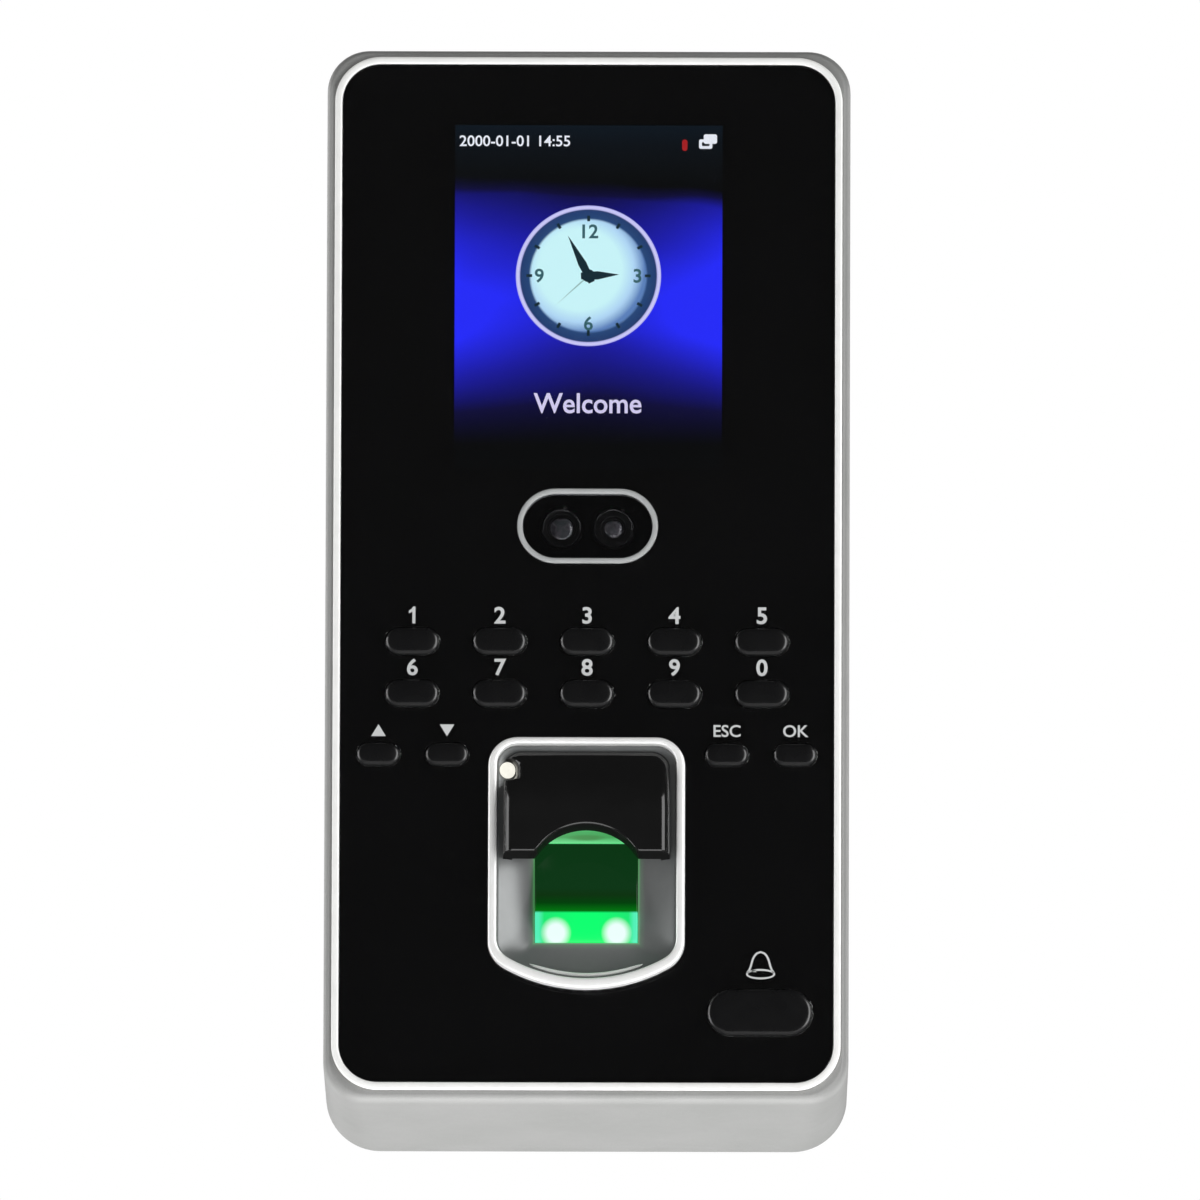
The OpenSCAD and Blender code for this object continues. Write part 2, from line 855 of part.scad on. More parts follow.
module board_screws() {
    color("silver") {
        for (s = board_bosses)
            screw(s, 1.9, board_back_y, board_back_y + 1.4, 0.8, board_front_y - 4);
        for (s = concat(pad_bosses, bell_bosses))
            screw(s, 1.9, keypad_y + keypad_t, keypad_y + keypad_t + 1.4, 0.8, keypad_y - 4);
        for (s = sensor_bosses)
            screw(s, 1.9, ear_front_y + ear_t, ear_front_y + ear_t + 1.4, 0.75, deck_back_y - 0.9);
    }
}

// ---------- Rear ----------

module rear_cover() {
    color([0.15, 0.15, 0.16])
        difference() {
            union() {
                plate(cover_front_y, cover_back_y) rounded(inner_w - 0.3, inner_h - 0.3, inner_r - 0.15);
                block(
                    -bay_x - bay_t, bay_x + bay_t,
                    bay_floor_y - bay_t, cover_front_y + lap,
                    bay_z0 - bay_t, bay_z1 + bay_t
                );
            }
            block(-bay_x, bay_x, bay_floor_y, 1, bay_z0, bay_z1);
            block(jack_x - 8.2, jack_x + 8.2, board_front_y, cover_front_y, bay_z1 - 1, bay_z1 + 3);
            block(usb_x - 7.2, usb_x + 7.2, board_front_y, -12.7, bay_z1 - 1, bay_z1 + 3);
            block(
                block_x - block_w / 2 - 0.2, block_x + block_w / 2 + 0.2,
                board_front_y, -10.3,
                bay_z1 - 1, bay_z1 + 3
            );
            for (s = cover_bosses)
                rod(s, 1.6, cover_front_y - 1, 1);
            for (s = hooks)
                block(s[0] - 4.4, s[0] + 4.4, cover_front_y - 1, 1, s[1] - 1.2, s[1] + 5.5);
            for (s = wall_holes)
                rod(s, 5.5, -4.8, 1);
            rod([tamper_x, tamper_z], plunger_r + 0.25, cover_front_y - 1, 1);
            for (i = [-3:3])
                plate(cover_front_y - 1, cover_back_y + 1)
                    translate([3 * i, speaker_z]) rounded(1.4, 18 - 1.5 * abs(i), 0.69);
        }
}

module cover_screws() {
    color("silver")
        for (s = cover_bosses)
            screw(s, 2.6, cover_back_y, cover_back_y + 1.8, 1.15, cover_front_y - 5);
}

module wall_plate() {
    color("lightgray") {
        difference() {
            plate(-plate_t, 0) rounded(plate_w, plate_h, 5);
            plate(-plate_t - 1, 1)
                translate([0, (bay_z0 + bay_z1) / 2]) rounded(48, 27, 3);
            plate(-plate_t - 1, 1) translate([0, 20]) rounded(30, 46, 4);
            for (s = wall_holes)
                rod(s, hole_d / 2, -plate_t - 1, 1);
        }
        for (s = hooks) {
            block(s[0] - hook_w / 2, s[0] + hook_w / 2, -8.2, -plate_t + lap, s[1] - 1, s[1] + plate_t - 1);
            block(s[0] - hook_w / 2, s[0] + hook_w / 2, -8.2, -6.7, s[1] - 1, s[1] + 4.5);
        }
    }
}

front_casing();
trim_ring();
front_panel();
panel_film();
camera_ring();
camera_window();
camera(-cam_x, 2);  // camera_left
camera(cam_x, 1.6);  // camera_right
camera_board();
camera_flex();
lcd_gasket();
lcd_glass();
lcd_frame();
lcd_flex();
for (i = [0:9])
    number_key(i);
for (i = [0:3])
    function_key(i);
key_bell();
key_switches();
keypad_board();
keypad_flex();
bell_board();
bell_lead();
finger_ring();
finger_cradle();
finger_hood();
finger_prism();
status_lamp();
sensor_housing();
sensor_leds();
sensor_board();
sensor_lead();
main_board();
main_chips();
network_jack();
usb_port();
terminal_block();
relay();
clock_battery();
speaker();
speaker_lead();
tamper_switch();
tamper_plunger();
board_screws();
rear_cover();
cover_screws();
wall_plate();
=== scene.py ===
"""Looks of the wall terminal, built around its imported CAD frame.

Lengths are in millimetres and become metres where a mesh is made. +X is to the viewer's right, +Y goes into
the wall and +Z is up. Each outline is a list of (x, z) points, and a depth is a place along Y.
"""
import json
import math

import bmesh
import bpy
from mathutils import Matrix, Vector, geometry


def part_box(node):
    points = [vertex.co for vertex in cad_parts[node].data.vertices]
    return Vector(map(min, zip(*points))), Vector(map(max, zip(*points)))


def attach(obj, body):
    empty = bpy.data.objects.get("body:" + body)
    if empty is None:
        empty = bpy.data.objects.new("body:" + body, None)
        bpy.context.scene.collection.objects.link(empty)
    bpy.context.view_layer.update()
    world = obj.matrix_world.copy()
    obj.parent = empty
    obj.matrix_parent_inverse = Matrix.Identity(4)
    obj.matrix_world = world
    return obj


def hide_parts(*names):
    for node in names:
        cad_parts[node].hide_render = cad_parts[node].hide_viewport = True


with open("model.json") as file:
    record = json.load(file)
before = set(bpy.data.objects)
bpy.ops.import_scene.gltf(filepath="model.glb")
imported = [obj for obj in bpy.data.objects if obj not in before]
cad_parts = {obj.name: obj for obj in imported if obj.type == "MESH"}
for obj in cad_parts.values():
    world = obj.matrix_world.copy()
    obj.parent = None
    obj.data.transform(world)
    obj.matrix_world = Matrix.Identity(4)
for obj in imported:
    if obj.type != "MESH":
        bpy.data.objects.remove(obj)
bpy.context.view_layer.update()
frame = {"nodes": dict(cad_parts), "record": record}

scene = bpy.context.scene
MM = 0.001
HOUSING = "housing"

# Sizes that the frame's boxes don't give
FIT = 0.05
CASE_R = 7.2
CASE_REAR_R = 9.4
CASE_DRAFT = 0.25
SHOULDER_IN = 1.2
SHOULDER_DEEP = 3.0
RIM_ROUND = 0.5
WALL_T = 2.2
DECK_T = 2.0
INNER_R = 5.4
TRIM_R = 7.9
TRIM_BAND = 1.2
CAM_BAND = 0.85
CAM_LEDGE = 1.7
KEY_RIM = 0.8
KEY_FLANGE_T = 1.0
KEY_FLANGE_BACK = 6.0
KEY_GAP = 0.15
KEY_STEM_R = 1.5
RING_BAND = 1.45
RING_TOP_R = 5.0
RING_LOW_R = 5.5
RING_ARC_R = 28.3
RING_RISE = 0.3
HOOD_TOP_Y = -40.1
FOLD_Z = -59.7
CLOCK = (0.0, 53.05)
CLOCK_R = 12.5

# Outline of a figure 1 that is 3 mm high
FIGURE_1 = [
    (-0.02, -1.5), (0.5, -1.5), (0.5, 1.5), (0.1, 1.5),
    (-0.15, 1.1), (-0.62, 0.78), (-0.62, 0.28), (-0.02, 0.58),
]

number_keys = ["key_" + name for name in "1234567890"]
all_keys = number_keys + ["key_up", "key_down", "key_esc", "key_ok", "key_bell"]


def mm_box(node):
    low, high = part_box(node)
    return low / MM, high / MM


def middle(node):
    low, high = mm_box(node)
    return (low.x + high.x) / 2, (low.z + high.z) / 2


# ---------- Materials ----------

def linear(red, green, blue):
    """A colour given in 0-255 display values"""
    def one(value):
        value /= 255
        return value / 12.92 if value <= 0.04045 else ((value + 0.055) / 1.055) ** 2.4
    return one(red), one(green), one(blue), 1.0


def shade(color, factor):
    return tuple(min(1.0, c * factor) for c in color[:3]) + (1.0,)


BLACK = (0, 0, 0, 1)


class Field:
    """A number that varies over a surface, ready for ordinary arithmetic"""

    def __init__(self, finish, socket):
        self.finish = finish
        self.socket = socket

    def __add__(self, other):
        return self.finish.math("ADD", self, other)

    def __sub__(self, other):
        return self.finish.math("SUBTRACT", self, other)

    def __rsub__(self, other):
        return self.finish.math("SUBTRACT", other, self)

    def __mul__(self, other):
        return self.finish.math("MULTIPLY", self, other)

    def __truediv__(self, other):
        return self.finish.math("DIVIDE", self, other)

    def __pow__(self, other):
        return self.finish.math("POWER", self, other)

    def __abs__(self):
        return self.finish.math("ABSOLUTE", self)

    def below(self, limit):
        """1 where the number is under the limit, 0 elsewhere"""
        return self.finish.math("LESS_THAN", self, limit)

    def clamped(self):
        """The result of the last step of arithmetic, held between 0 and 1"""
        self.socket.node.use_clamp = True
        return self


class Finish:
    """A Principled material and the nodes that give it its detail"""

    def __init__(self, name, color, rough, metal=0.0, coat=0.0, coat_rough=0.05, specular=0.5):
        self.material = bpy.data.materials.new(name)
        self.material.use_nodes = True
        self.tree = self.material.node_tree
        self.shader = self.tree.nodes["Principled BSDF"]
        self.color = color
        self.rough = rough
        self.set("Base Color", color)
        self.set("Roughness", rough)
        self.set("Metallic", metal)
        self.set("Coat Weight", coat)
        self.set("Coat Roughness", coat_rough)
        self.set("Specular IOR Level", specular)
        self.place = self.node("ShaderNodeTexCoord").outputs["Object"]

    def feed(self, socket, value):
        """Links a varying value to a socket, or sets a fixed one on it"""
        if isinstance(value, Field):
            value = value.socket
        if isinstance(value, bpy.types.NodeSocket):
            self.tree.links.new(value, socket)
        else:
            socket.default_value = value

    def set(self, socket, value):
        self.feed(self.shader.inputs[socket], value)

    def node(self, kind, inputs=None, **settings):
        node = self.tree.nodes.new(kind)
        for name, value in settings.items():
            setattr(node, name, value)
        for name, value in (inputs or {}).items():
            self.feed(node.inputs[name], value)
        return node

    def math(self, operation, a, b=0.0):
        return Field(self, self.node("ShaderNodeMath", {0: a, 1: b}, operation=operation).outputs[0])

    def length(self, a, b):
        return self.math("SQRT", a ** 2.0 + b ** 2.0)

    def ramp(self, factor, stops):
        node = self.node("ShaderNodeValToRGB", {"Fac": factor})
        elements = node.color_ramp.elements
        while len(elements) < len(stops):
            elements.new(0.5)
        for element, (position, color) in zip(elements, stops):
            element.position = position
            element.color = color
        return node.outputs["Color"]

    def mix(self, factor, a, b, blend="MIX"):
        inputs = {"Factor": factor, "A": a, "B": b}
        return self.node("ShaderNodeMix", inputs, data_type="RGBA", blend_type=blend).outputs["Result"]

    def stretched(self, scale):
        """Object coordinates in millimetres, multiplied by scale along each axis"""
        factors = tuple(s / MM for s in scale)
        return self.node("ShaderNodeMapping", {"Vector": self.place, "Scale": factors}).outputs[0]

    def noise(self, size, detail=3.0, stretch=(1, 1, 1), distortion=0.0):
        """Noise whose features are about size millimetres across"""
        vector = self.stretched(tuple(s / size for s in stretch))
        inputs = {"Vector": vector, "Scale": 1.0, "Detail": detail, "Distortion": distortion}
        return Field(self, self.node("ShaderNodeTexNoise", inputs).outputs[0])

    def xz(self):
        """The x and z of each point, in millimetres"""
        axes = self.node("ShaderNodeSeparateXYZ", {"Vector": self.stretched((1, 1, 1))}).outputs
        return Field(self, axes[0]), Field(self, axes[2])

    def mottle(self, size, amount):
        """Colour that wanders by amount round the base colour"""
        stops = [(0.25, shade(self.color, 1 - amount)), (0.75, shade(self.color, 1 + amount))]
        self.set("Base Color", self.ramp(self.noise(size), stops))

    def polish(self, size, amount, stretch=(1, 1, 1)):
        """Roughness that wanders by amount round the base roughness"""
        self.set("Roughness", self.noise(size, stretch=stretch) * (2 * amount) + (self.rough - amount))

    def bump(self, height, depth):
        """Relief of depth millimetres"""
        relief = self.node("ShaderNodeBump", {"Height": height, "Strength": 1.0, "Distance": depth * MM})
        self.set("Normal", relief.outputs[0])

    def glow(self, color):
        self.set("Emission Color", color)
        self.set("Emission Strength", 1.0)


def moulded(name, color, rough, grain=0.25, relief=0.006, wander=0.05, specular=0.5):
    """Moulded plastic: fine texture, slight clouds of colour and uneven polish"""
    finish = Finish(name, color, rough, specular=specular)
    finish.mottle(7.0, wander)
    finish.polish(3.0, 0.06)
    finish.bump(finish.noise(grain, detail=2.0), relief)
    return finish.material


def satin_metal(name, color, rough, metal, relief=0.003, stretch=(0.15, 1, 1), grain=0.35):
    """Brushed or blasted metal: fine lines along the axis that stretch flattens"""
    finish = Finish(name, color, rough, metal=metal)
    finish.mottle(4.0, 0.04)
    finish.polish(grain, 0.08, stretch)
    finish.bump(finish.noise(grain, stretch=stretch), relief)
    return finish.material


def steel(name, color=(0.62, 0.62, 0.63, 1), rough=0.3, stretch=(0.12, 1, 1)):
    return satin_metal(name, color, rough, 1.0, relief=0.002, stretch=stretch)


def painted_casing():
    """Satin silver paint with fine flakes and faint clouds over a moulded shell"""
    finish = Finish("casing_paint", linear(143, 143, 142), 0.5)
    flakes = finish.ramp(finish.noise(0.18, detail=1.0), [
        (0.3, shade(finish.color, 0.94)),
        (0.7, shade(finish.color, 1.05)),
    ])
    clouds = finish.ramp(finish.noise(14.0), [
        (0.3, linear(246, 247, 246)),
        (0.7, linear(255, 255, 255)),
    ])
    finish.set("Base Color", finish.mix(1.0, flakes, clouds, "MULTIPLY"))
    finish.polish(2.0, 0.05)
    finish.bump(finish.noise(0.22, detail=2.0), 0.004)
    return finish.material


def clear_plastic(name, color, rough):
    """Clear sheet with fine upright scratches"""
    finish = Finish(name, color, rough)
    finish.set("Transmission Weight", 1.0)
    finish.set("IOR", 1.49)
    scratches = finish.noise(0.5, detail=4.0, stretch=(1, 1, 0.06), distortion=0.4)
    finish.set("Roughness", scratches * rough + rough * 0.5)
    return finish.material


def circuit_board():
    """Solder mask over tracks that run along both axes, with tinned pads"""
    finish = Finish("solder_mask", linear(12, 62, 34), 0.35, coat=0.4, coat_rough=0.15)
    vector = finish.stretched((1, 1, 1))
    turned = finish.node("ShaderNodeMapping", {"Vector": vector, "Rotation": (math.pi / 2, 0, 0)})
    layout = {
        "Scale": 0.42, "Mortar Size": 0.07, "Mortar Smooth": 0.2,
        "Brick Width": 1.7, "Row Height": 0.55,
    }
    tracks = finish.node(
        "ShaderNodeTexBrick",
        {"Vector": turned.outputs[0], **layout},
        offset=0.37, offset_frequency=3, squash=0.6, squash_frequency=2,
    )
    lines = Field(finish, tracks.outputs["Fac"])
    dots = finish.node("ShaderNodeTexVoronoi", {"Vector": vector, "Scale": 0.38, "Randomness": 0.7})
    pads = Field(finish, dots.outputs["Distance"]).below(0.2)
    copper = finish.ramp(lines, [(0.3, finish.color), (0.7, linear(28, 96, 52))])
    finish.set("Base Color", finish.mix(pads, copper, linear(176, 178, 170)))
    finish.bump(lines + pads, 0.03)
    return finish.material


def striped(name, color, dark, pitch, rough):
    """A ribbon or lead with parallel conductors across X"""
    finish = Finish(name, color, rough, coat=0.3, coat_rough=0.2)
    x, _ = finish.xz()
    wave = finish.math("PINGPONG", x, pitch / 2)
    finish.set("Base Color", finish.ramp(wave / (pitch / 2), [(0.35, dark), (0.5, color)]))
    finish.bump(wave, 0.05)
    finish.polish(1.5, 0.05)
    return finish.material


def foam():
    finish = Finish("cell_foam", linear(26, 26, 27), 0.95, specular=0.1)
    cells = finish.node("ShaderNodeTexVoronoi", {"Vector": finish.stretched((2.6, 2.6, 2.6))})
    finish.bump(cells.outputs["Distance"], 0.12)
    finish.mottle(1.0, 0.2)
    return finish.material


def screen_picture():
    """A dark status bar over soft blue waves that fade to black below"""
    finish = Finish("screen_picture", linear(1, 1, 2), 0.3, specular=0.05)
    half_w, wave_top, wave_middle, wave_foot, bar_foot = 22.85, 66.2, 46.0, 23.0, 68.0
    x, z = finish.xz()
    waves = finish.noise(26.0, detail=1.0, stretch=(0.9, 1, 1.7))
    edge = waves * 7.0 - x * 0.09 + wave_top
    above = ((edge - z) / 3.0).clamped()
    below = ((z - wave_foot) / 22.0).clamped()
    beside = abs(x / half_w) ** 1.6 * 0.56 + 0.48
    band = (1.12 - abs((z - wave_middle) / 24.0)).clamped()
    light = (above * below * beside * band * (waves * 0.8 + 0.75)).clamped()
    blue = finish.ramp(light, [
        (0.0, linear(2, 3, 4)),
        (0.12, linear(12, 10, 58)),
        (0.4, linear(27, 27, 168)),
        (0.85, linear(38, 44, 255)),
    ])
    teal = finish.ramp(((z - bar_foot) / 11.5).clamped(), [
        (0.0, BLACK),
        (0.3, linear(3, 5, 7)),
        (0.72, linear(5, 11, 18)),
        (1.0, linear(7, 18, 28)),
    ])
    finish.glow(finish.mix(1.0, blue, teal, "ADD"))
    return finish.material


def clock_dial():
    """Pale rim, navy band and a light face shaded towards its lower right"""
    finish = Finish("clock_dial", linear(8, 10, 14), 0.3)
    x, z = finish.xz()
    x, z = x - CLOCK[0], z - CLOCK[1]
    face = finish.ramp(finish.length(x + 1.5, z - 1.1) / 12.0, [
        (0.6, linear(205, 250, 255)),
        (0.78, linear(178, 218, 250)),
        (0.93, linear(92, 130, 190)),
    ])
    radius = finish.length(x, z) / CLOCK_R
    rim = finish.ramp(radius, [
        (0.80, linear(36, 72, 122)),
        (0.935, linear(30, 58, 110)),
        (0.95, linear(190, 190, 246)),
        (0.975, linear(214, 212, 255)),
        (1.0, linear(168, 166, 244)),
    ])
    finish.glow(finish.mix(((radius - 0.785) * 30.0).clamped(), face, rim))
    return finish.material


def lit(name, color):
    """Something that glows, slightly uneven as a grid of pixels is"""
    finish = Finish(name, shade(color, 0.05), 0.3)
    finish.glow(finish.ramp(finish.noise(0.35, detail=1.0), [(0.3, shade(color, 0.94)), (0.7, color)]))
    return finish.material


def reader_glass():
    """The fingerprint prism: dark green face, bright lower facet and the two lamps behind it"""
    finish = Finish("reader_glass", linear(2, 14, 6), 0.12, specular=0.25)
    half_w, lamp_x, lamp_z, lamp_r, lamp_fade = 8.8, 5.2, -63.3, 1.4, 1.3
    x, z = finish.xz()
    facet = ((FOLD_Z - z) * 3.0).clamped()
    face = finish.ramp(((z - FOLD_Z) / 4.2).clamped(), [
        (0.0, linear(0, 112, 12)),
        (0.35, linear(0, 62, 6)),
        (0.7, linear(12, 48, 12)),
        (1.0, linear(12, 52, 20)),
    ])
    foot = finish.ramp(abs(x) / half_w, [
        (0.2, linear(14, 255, 112)),
        (0.82, linear(30, 232, 116)),
        (0.93, linear(84, 240, 184)),
    ])
    spot = finish.length(abs(x) - lamp_x, z - lamp_z)
    core = (1.0 - (spot - lamp_r) / lamp_fade).clamped()
    body = finish.mix(facet, face, foot)
    finish.glow(finish.mix(core * facet, body, linear(236, 255, 252)))
    finish.polish(1.2, 0.02)
    return finish.material


def cradle_paint_with_painted_glow():
    """Satin metallic grey with the prism's green light painted on as a glow: a painted green rim round the
    prism's opening and a painted pool of green light under the hood
    """
    finish = Finish("cradle_paint_with_painted_glow", linear(122, 124, 124), 0.33, metal=0.35)
    finish.mottle(3.0, 0.04)
    finish.polish(1.0, 0.05)
    finish.bump(finish.noise(0.2, detail=2.0), 0.003)
    half_w, half_h, middle_z, hood_z, painted_pool_z = 8.9, 8.85, -56.15, -45.2, -46.4
    x, z = finish.xz()
    beside = abs(x) - half_w
    along = abs(z - middle_z) - half_h
    # Painted light: a green glow round the prism's opening that fades out 1.2 mm from its edge
    rim = finish.ramp((finish.math("MAXIMUM", beside, along) / 1.2).clamped(), [
        (0.0, linear(50, 140, 66)),
        (0.3, linear(20, 60, 28)),
        (1.0, BLACK),
    ])
    # Painted light: a pool of green light under the hood, brighter at its top and bottom
    painted_glow_under_hood = finish.ramp(((z + 47.4) / 3.6).clamped(), [
        (0.0, linear(90, 220, 130)),
        (0.3, linear(24, 150, 60)),
        (0.55, linear(30, 160, 70)),
        (0.9, linear(90, 222, 140)),
    ])
    # Painted light: the bright middle of the pool under the hood
    core = (1.25 - ((x / 3.3) ** 2.0 + ((z - painted_pool_z) / 0.55) ** 2.0)).clamped()
    painted_light_pool = finish.mix(core, painted_glow_under_hood, linear(12, 130, 36))
    # Where the painted pool sits: a band round the hood's lower edge, inside the prism's width
    painted_pool_mask = abs(z - hood_z).below(2.3) * beside.below(-0.4)
    # Both glows are emission on a part that is no lamp, so they are painted light
    finish.glow(finish.mix(painted_pool_mask, rim, painted_light_pool))
    return finish.material


def looks_down(finish, start):
    """0 on faces that look ahead or up, rising to 1 on faces whose normal drops further than start"""
    normal = finish.node("ShaderNodeNewGeometry").outputs["Normal"]
    axes = finish.node("ShaderNodeSeparateXYZ", {"Vector": normal}).outputs
    return ((start - Field(finish, axes[2])) * 5.0).clamped()


def keycap_satin():
    """Satin black keys whose lower edges are duller than their ends"""
    finish = Finish("keycap_satin", linear(12, 12, 13), 0.28)
    finish.mottle(7.0, 0.05)
    under = looks_down(finish, -0.25)
    finish.set("Roughness", under * 0.25 + finish.noise(3.0) * 0.12 + 0.22)
    finish.set("Coat Weight", under * -0.38 + 0.4)
    finish.set("Specular IOR Level", under * -0.3 + 0.5)
    finish.bump(finish.noise(0.18, detail=2.0), 0.002)
    return finish.material


def hood_gloss():
    """Polished black resin, left matt on the faces that look down"""
    finish = Finish("hood_gloss", linear(20, 20, 20), 0.12)
    finish.mottle(5.0, 0.1)
    under = looks_down(finish, -0.66)
    finish.set("Roughness", under * 0.6 + finish.noise(3.0) * 0.06 + 0.09)
    finish.set("Specular IOR Level", under * -0.45 + 0.5)
    finish.bump(finish.noise(2.5, detail=2.0), 0.002)
    return finish.material


def coated_lens():
    finish = Finish("coated_lens", linear(70, 70, 76), 0.12, coat=1.0, coat_rough=0.04)
    finish.set("Base Color", finish.ramp(finish.noise(1.6, detail=1.0), [
        (0.35, linear(60, 58, 70)),
        (0.5, linear(116, 112, 118)),
        (0.65, linear(84, 92, 96)),
    ]))
    finish.polish(0.8, 0.01)
    return finish.material


PLATE_GREY = (0.38, 0.39, 0.40, 1)
SCREW_GREY = (0.45, 0.45, 0.44, 1)
SMOKE = (0.72, 0.72, 0.74, 1)
CLEAR = (1, 1, 1, 1)

MATERIALS = {
    "casing_grey": painted_casing(),
    "trim_silver": satin_metal("trim_satin", linear(250, 250, 248), 0.42, 0.15),
    "clear_acrylic": clear_plastic("panel_acrylic", CLEAR, 0.012),
    "smoked_acrylic": clear_plastic("window_acrylic", SMOKE, 0.02),
    "black_film": moulded("printed_film", linear(2, 2, 3), 0.6, relief=0.001, specular=0.05),
    "ring_grey": satin_metal("window_ring", linear(166, 168, 168), 0.5, 0.0),
    "lens_black": moulded("lens_barrel", linear(22, 22, 23), 0.3),
    "coated_lens": coated_lens(),
    "board_green": circuit_board(),
    "flex_amber": striped("ribbon_film", linear(196, 128, 44), linear(120, 70, 22), 0.9, 0.35),
    "foam_black": foam(),
    "screen_lit": screen_picture(),
    "clock_dial": clock_dial(),
    "clock_ink": lit("clock_ink", linear(14, 40, 50)),
    "clock_print": lit("clock_print", linear(52, 96, 104)),
    "clock_faint": lit("clock_faint", linear(150, 190, 190)),
    "screen_white": lit("screen_white", linear(236, 240, 250)),
    "greeting_white": lit("greeting_white", linear(214, 208, 244)),
    "screen_red": lit("screen_red", linear(168, 28, 32)),
    "backlight_white": moulded("backlight_frame", linear(224, 224, 222), 0.5),
    "key_black": keycap_satin(),
    "part_black": moulded("black_resin", linear(34, 34, 35), 0.55),
    "ring_silver": satin_metal("reader_ring", linear(252, 252, 250), 0.34, 0.25),
    "cradle_grey": cradle_paint_with_painted_glow(),
    "hood_black": hood_gloss(),
    "prism_green": reader_glass(),
    "lamp_white": lit("lamp_diffuser", linear(250, 248, 236)),
    "legend_white": moulded("legend_print", linear(196, 198, 198), 0.6, grain=0.1, relief=0.001),
    "led_green": lit("led_emitter", linear(150, 255, 180)),
    "lead_white": striped("lead_white", linear(222, 222, 216), linear(170, 170, 164), 1.2, 0.5),
    "lead_red": moulded("lead_red", linear(168, 30, 26), 0.45),
    "socket_metal": steel("tinned_shell", rough=0.28),
    "terminal_green": moulded("terminal_resin", linear(54, 148, 92), 0.5),
    "cell_steel": steel("cell_steel", stretch=(1, 1, 0.12)),
    "plunger_white": moulded("acetal", linear(230, 230, 226), 0.4),
    "screw_steel": steel("screw_zinc", SCREW_GREY, 0.34),
    "cover_black": moulded("cover_abs", linear(44, 44, 46), 0.62, grain=0.5, relief=0.03, wander=0.08),
    "plate_zinc": satin_metal("plate_zinc", PLATE_GREY, 0.45, 0.6, relief=0.004, stretch=(1, 1, 0.1)),
}

# ---------- Outlines ----------

ARC_STEPS = 16


def arc(x, z, r, start, end, steps=ARC_STEPS):
    turns = [math.radians(start + (end - start) * i / steps) for i in range(steps + 1)]
    return [(x + r * math.cos(turn), z + r * math.sin(turn)) for turn in turns]


def circle(x, z, r, steps):
    return arc(x, z, r, 0, 360, steps)[:-1]


def rounded(w, h, r, x=0.0, z=0.0):
    dx, dz = w / 2 - r, h / 2 - r
    return (
        arc(x + dx, z + dz, r, 0, 90)
        + arc(x - dx, z + dz, r, 90, 180)
        + arc(x - dx, z - dz, r, 180, 270)
        + arc(x + dx, z - dz, r, 270, 360)
    )


def obround(w, h, x=0.0, z=0.0):
    dx, r, steps = (w - h) / 2, h / 2, 2 * ARC_STEPS
    return arc(x + dx, z, r, -90, 90, steps) + arc(x - dx, z, r, 90, 270, steps)


def reader_outline(inset, rise=0.0):
    """Outline of the fingerprint reader: square shoulders above, a shallow arc below"""
    low, high = mm_box("finger_ring")
    top_x, top_z = high.x - RING_TOP_R, high.z - RING_TOP_R + rise
    corner_x = high.x - RING_LOW_R
    arc_z = low.z + RING_ARC_R
    drop = math.sqrt((RING_ARC_R - RING_LOW_R) ** 2 - corner_x ** 2)
    lean = math.degrees(math.atan2(corner_x, drop))
    corner_z = arc_z - drop + rise
    arc_z += rise
    return (
        arc(top_x, top_z, RING_TOP_R - inset, 0, 90)
        + arc(-top_x, top_z, RING_TOP_R - inset, 90, 180)
        + arc(-corner_x, corner_z, RING_LOW_R - inset, 180, 270 - lean)
        + arc(0, arc_z, RING_ARC_R - inset, 270 - lean, 270 + lean, 2 * ARC_STEPS)[1:-1]
        + arc(corner_x, corner_z, RING_LOW_R - inset, 270 + lean, 360)
    )


def camera_outline(inset):
    low, high = mm_box("camera_ring")
    x, z = middle("camera_ring")
    return obround(high.x - low.x - 2 * inset, high.z - low.z - 2 * inset, x, z)


def trim_outline(inset):
    low, high = mm_box("trim_ring")
    return rounded(high.x - low.x - 2 * inset, high.z - low.z - 2 * inset, TRIM_R - inset)


def key_outline(key, inset):
    low, high = mm_box(key)
    x, z = middle(key)
    grow = KEY_RIM + inset
    return obround(high.x - low.x - 2 * grow, high.z - low.z - 2 * grow, x, z)


def within(outline, step):
    """An outline for a piece that fits inside this one, a step in from it"""
    return lambda inset: outline(step + inset)


def opening(outline, gap, *node):
    """An outline for a hole round this one: a positive inset goes into the material round the hole"""
    return lambda inset: outline(*node, -inset - gap)


# ---------- Meshes ----------

